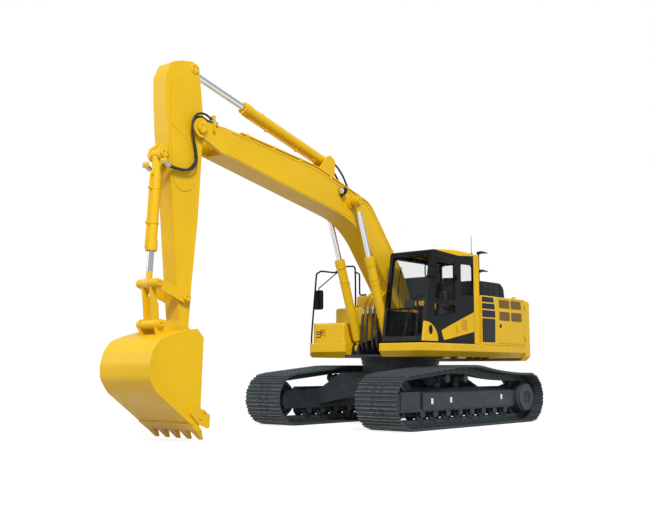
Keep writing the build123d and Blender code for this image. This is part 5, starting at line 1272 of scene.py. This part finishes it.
def belt_line():
    """The shoes' outer face as a closed line round the sprocket, the idler and the two carriers."""
    steps = 24
    carrier = CARRIER_RADIUS + CHAIN_DEPTH + SHOE_PLATE
    wheels = [(side * WHEEL_BASE / 2, END_RADIUS, END_RADIUS - GROUSER) for side in (-1, 1)]
    wheels += [(x, CARRIER_TOP - GROUSER - carrier, carrier) for x in CARRIER_X]
    normals = []
    for (x, z, r), (next_x, next_z, next_r) in zip(wheels, wheels[1:] + wheels[:1]):
        span = math.hypot(next_x - x, next_z - z)
        normals.append(math.atan2(next_z - z, next_x - x) - math.pi / 2 - math.asin((next_r - r) / span))
    points = []
    for i, (x, z, r) in enumerate(wheels):
        first = normals[i - 1]
        turn = (normals[i] - first) % math.tau
        for k in range(steps + 1):
            a = first + turn * k / steps
            points.append(at(x + r * math.cos(a), 0, z + r * math.sin(a)))
    start, end = points[-1], points[0]
    for k in range(1, steps):
        sag = 4 * TRACK_SAG * k / steps * (1 - k / steps)
        points.append(start.lerp(end, k / steps) - Vector((0, 0, sag / 1000)))
    return points + [end]


def shoe_frames():
    """Each shoe's start, its unit vectors along and out of the belt, and its length in metres."""
    line = belt_line()
    reach = [0.0]
    for first, second in zip(line, line[1:]):
        reach.append(reach[-1] + (second - first).length)
    count = round(reach[-1] * 1000 / SHOE_PITCH)
    ends, k = [], 0
    for i in range(count):
        want = reach[-1] * i / count
        while reach[k + 1] < want:
            k += 1
        ends.append(line[k].lerp(line[k + 1], (want - reach[k]) / (reach[k + 1] - reach[k])))
    frames = []
    for start, end in zip(ends, ends[1:] + ends[:1]):
        run = (end - start).normalized()
        frames.append((start, run, Vector((run.z, 0, -run.x)), (end - start).length))
    return frames


def add_slab(form, middle, run, out, length, width, depth):
    """A flat bar across the belt, its outer face at the middle's height plus its depth."""
    side = Vector((0, width / 2, 0))
    reach = run * length / 2
    add_plate(form, [middle - reach - side, middle + reach - side,
                     middle + reach + side, middle - reach + side], out * depth)


def add_shoe(form, worn, shade_marks, start, run, out, length, bolt_across):
    """A shoe's bolts, bars, pins and worn grousers, and the dark slab and plates of painted shade over its
    gap and on the chain's sides, from its start along the belt.
    """
    for share in SHOE_BOLTS:
        for lane in (-RAIL_SPREAD - 22, -RAIL_SPREAD + 22, RAIL_SPREAD - 22, RAIL_SPREAD + 22):
            add_bolt(form, start + run * length * share + Vector((0, lane / 1000, 0)), out, bolt_across)
    for share in GROUSERS:
        top = start + run * length * share + out * 0.0255
        if top.z > 0.02:
            add_slab(worn, top, run, out, 0.010, 0.84, 0.001)
    # Painted shade: a thin near-black slab over the gap between this shoe and the one before
    add_slab(shade_marks, start, run, out, 0.007, 0.846, 0.0012)
    for end in (-1, 1):
        middle = start + Vector((0, end * (RAIL_OUTER + SHOE_HALF) / 2000, 0)) - out * SHOE_PLATE / 1000
        add_slab(form, middle, run, -out, 0.030, (SHOE_HALF - RAIL_OUTER - 12) / 1000, 0.012)
        pin = start - out * (SHOE_PLATE + CHAIN_DEPTH / 2) / 1000
        face = Vector((0, end * (RAIL_OUTER - 1) / 1000, 0))
        add_bar(form, pin + face, pin + face * 1.12, 0.026, 12)
        # Painted shade: a dark plate on the chain's side
        plate = pin + face + run * length / 2 + out * 0.030
        add_plate(shade_marks, [plate - run * 0.036, plate + run * 0.036, plate + run * 0.030 - out * 0.040,
                         plate - run * 0.030 - out * 0.040], Vector((0, end * 0.002, 0)))


class EXCAVATOR_OT_tracks(bpy.types.Operator):
    """Adds each track shoe's bolts, bars and worn grousers, the chain's pins, and the dark slabs and plates
    of painted shade over the shoes' gaps and on the chain's sides
    """
    bl_idname = "excavator.tracks"
    bl_label = "Tracks"

    def execute(self, context):
        bolt_across = context.scene.excavator_fittings.bolt_across * 0.75
        for side, name in ((1, "left"), (-1, "right")):
            form, worn, shade_marks = bmesh.new(), bmesh.new(), bmesh.new()
            across = Vector((0, side * BELT_Y / 1000, 0))
            for start, run, out, length in shoe_frames():
                add_shoe(form, worn, shade_marks, start + across, run, out, length, bolt_across)
            fit(form, f"shoe_bolts_{name}", "track_steel", "undercarriage")
            fit(worn, f"worn_grousers_{name}", "worn_steel", "undercarriage")
            # The painted shade over the shoes' gaps and on the chain's sides, drawn in the near-black hose
            # rubber
            fit(shade_marks, f"shoe_shade_marks_{name}", "hose_rubber", "undercarriage")
        return {"FINISHED"}


class EXCAVATOR_OT_undercarriage(bpy.types.Operator):
    """Adds the bolts and covers of the sprockets, track frames, swing bearing and carbody"""
    bl_idname = "excavator.undercarriage"
    bl_label = "Undercarriage"

    def execute(self, context):
        across = context.scene.excavator_fittings.bolt_across
        form = bmesh.new()
        for side in (-1, 1):
            outward = Vector((0, side, 0))
            hub = at(SPROCKET_HUB[0], side * SPROCKET_HUB_Y, SPROCKET_HUB[1])
            add_bolt_ring(form, hub - outward * 0.052, outward, 0.235, 18, across * 0.8)
            add_turned(form, hub - outward * 0.004, outward,
                       [(0, 10), (60, 10), (70, 6), (130, 4), (136, 0), (0, 0)], 32)
            add_bolt_ring(form, hub, outward, 0.1, 6, across * 0.7)
            for low, high in SIDE_PANELS:
                add_side_plate(form, rectangle(low, high), side, SIDE_PANEL_Y, SIDE_PANEL_DEPTH, 0.02)
            for index in range(ROLLER_COUNT):
                x = (index - (ROLLER_COUNT - 1) / 2) * ROLLER_SPACING
                for dx in (-60, 60):
                    add_bolt(form, at(x + dx, side * ROLLER_BOLT_Y, ROLLER_BOLT_Z), outward, across * 0.8)
        fit(form, "track_frame_bolts", "undercarriage_paint", "undercarriage")
        form = bmesh.new()
        for side in (-1, 1):
            for x, z in BRIGHT_PLATES:
                add_side_plate(form, rectangle((x - 32, z - 46), (x + 32, z + 46)), side,
                               SIDE_PANEL_Y + SIDE_PANEL_DEPTH, 2)
        fit(form, "bright_plates", "pale_label", "undercarriage")
        form = bmesh.new()
        add_bolt_ring(form, at(0, 0, 1178), (0, 0, 1), 0.715, 40, across * 0.8)
        for end in (-1, 1):
            corners = [at(end * 1128, y, z) for y, z in rectangle((-170, 600), (170, 860))]
            add_plate(form, corners, Vector((end * 0.008, 0, 0)), 0.03)
        fit(form, "carbody_bolts", "undercarriage_paint", "undercarriage")
        return {"FINISHED"}


def make_floor(studio):
    """A warm floor that looks white to the camera and keeps the machine's shadow."""
    form = bmesh.new()
    bmesh.ops.create_grid(form, x_segments=1, y_segments=1, size=300.0)
    mesh = bpy.data.meshes.new("floor")
    form.to_mesh(mesh)
    form.free()
    floor = bpy.data.objects.new("floor", mesh)
    bpy.context.scene.collection.objects.link(floor)
    floor.location.z = -0.002
    material, tree, _ = new_material("studio_floor")
    matt = add_node(tree, "ShaderNodeBsdfDiffuse", {"Color": (*studio.floor_colour, 1.0)})
    glow = add_node(tree, "ShaderNodeEmission", {"Color": (1.0, 1.0, 1.0, 1.0), "Strength": 0.76})
    path = add_node(tree, "ShaderNodeLightPath")
    seen = joined(tree, [path.outputs[f"Is {kind} Ray"] for kind in ("Camera", "Glossy", "Transmission")],
                  "MAXIMUM")
    dark = add_node(tree, "ShaderNodeEmission", {"Strength": 0.0})
    glow = add_node(tree, "ShaderNodeMixShader", {0: seen, 1: dark.outputs[0], 2: glow.outputs[0]})
    both = add_node(tree, "ShaderNodeAddShader", {0: matt.outputs[0], 1: glow.outputs[0]})
    output = add_node(tree, "ShaderNodeOutputMaterial", {"Surface": both.outputs[0]})
    output.is_active_output = True
    floor.data.materials.append(material)


def make_sky():
    """A sky that looks white and lights the machine with a cool grey."""
    world = bpy.data.worlds.new("studio_sky")
    bpy.context.scene.world = world
    world.use_nodes = True
    tree = world.node_tree
    tree.nodes.clear()
    path = add_node(tree, "ShaderNodeLightPath")
    seen = add_node(tree, "ShaderNodeBackground", {"Color": (1.0, 1.0, 1.0, 1.0), "Strength": 1.0})
    light = add_node(tree, "ShaderNodeBackground", {"Color": (0.86, 0.93, 1.0, 1.0), "Strength": 0.7})
    either = joined(tree, [path.outputs[f"Is {kind} Ray"] for kind in ("Camera", "Transmission")], "MAXIMUM")
    mixed = add_node(tree, "ShaderNodeMixShader", {0: either, 1: light.outputs[0], 2: seen.outputs[0]})
    add_node(tree, "ShaderNodeOutputWorld", {"Surface": mixed.outputs[0]})


def make_lamps(studio):
    """The key lamp that gives the shadows and the fill lamp that lightens the right side."""
    for name, place, size, power in (("key_lamp", (30.0, 35.0, 42.0), 10.0, studio.key_power),
                                     ("fill_lamp", (14.0, -10.0, 9.0), 8.0, studio.fill_power)):
        lamp = bpy.data.lights.new(name, "AREA")
        lamp.energy = power
        lamp.size = size
        stand = bpy.data.objects.new(name, lamp)
        bpy.context.scene.collection.objects.link(stand)
        stand.location = place
        stand.rotation_euler = (Vector((0, 0, 1.5)) - Vector(place)).to_track_quat("-Z", "Y").to_euler()


def make_camera():
    """The camera that sees the machine as the photograph does."""
    heading, pitch = math.radians(CAMERA_HEADING), math.radians(CAMERA_PITCH)
    back = Vector((math.cos(heading) * math.cos(pitch), math.sin(heading) * math.cos(pitch),
                   math.sin(pitch)))
    lens = bpy.data.cameras.new("camera")
    lens.sensor_fit = "HORIZONTAL"
    lens.sensor_width = SENSOR_WIDTH
    lens.lens = FOCAL_PIXELS / PICTURE_WIDTH * SENSOR_WIDTH
    lens.clip_end = 500.0
    camera = bpy.data.objects.new("camera", lens)
    bpy.context.scene.collection.objects.link(camera)
    camera.location = CAMERA_PLACE
    camera.rotation_euler = (-back).to_track_quat("-Z", "Y").to_euler()
    bpy.context.scene.camera = camera
    bpy.context.scene.view_settings.view_transform = "Standard"


class EXCAVATOR_OT_stage(bpy.types.Operator):
    """Sets up the floor, the sky, the lamps and the camera"""
    bl_idname = "excavator.stage"
    bl_label = "Stage"

    def execute(self, context):
        make_floor(context.scene.excavator_studio)
        make_sky()
        make_lamps(context.scene.excavator_studio)
        make_camera()
        return {"FINISHED"}


class EXCAVATOR_PT_panel(bpy.types.Panel):
    """Lists the excavator's steps in the sidebar"""
    bl_idname = "EXCAVATOR_PT_panel"
    bl_label = "Crawler Excavator"
    bl_space_type = "VIEW_3D"
    bl_region_type = "UI"
    bl_category = "Excavator"

    def draw(self, context):
        for settings in (context.scene.excavator_fittings, context.scene.excavator_studio):
            for name in settings.bl_rna.properties.keys():
                if name not in ("rna_type", "name"):
                    self.layout.prop(settings, name)
        for step in STEPS:
            self.layout.operator(step.bl_idname)


STEPS = (EXCAVATOR_OT_stage, EXCAVATOR_OT_paint_solids, EXCAVATOR_OT_booms, EXCAVATOR_OT_bucket,
         EXCAVATOR_OT_cylinders, EXCAVATOR_OT_hoses, EXCAVATOR_OT_house, EXCAVATOR_OT_hood,
         EXCAVATOR_OT_cab, EXCAVATOR_OT_undercarriage, EXCAVATOR_OT_tracks, EXCAVATOR_OT_seat)
CLASSES = (EXCAVATOR_PG_fittings, EXCAVATOR_PG_studio) + STEPS + (EXCAVATOR_PT_panel,)


def register():
    for cls in CLASSES:
        bpy.utils.register_class(cls)
    bpy.types.Scene.excavator_fittings = bpy.props.PointerProperty(type=EXCAVATOR_PG_fittings)
    bpy.types.Scene.excavator_studio = bpy.props.PointerProperty(type=EXCAVATOR_PG_studio)


def unregister():
    del bpy.types.Scene.excavator_fittings
    del bpy.types.Scene.excavator_studio
    for cls in reversed(CLASSES):
        bpy.utils.unregister_class(cls)


def main():
    register()
    for step in STEPS:
        group, name = step.bl_idname.split(".")
        getattr(getattr(bpy.ops, group), name)()


if __name__ == "__main__":
    main()
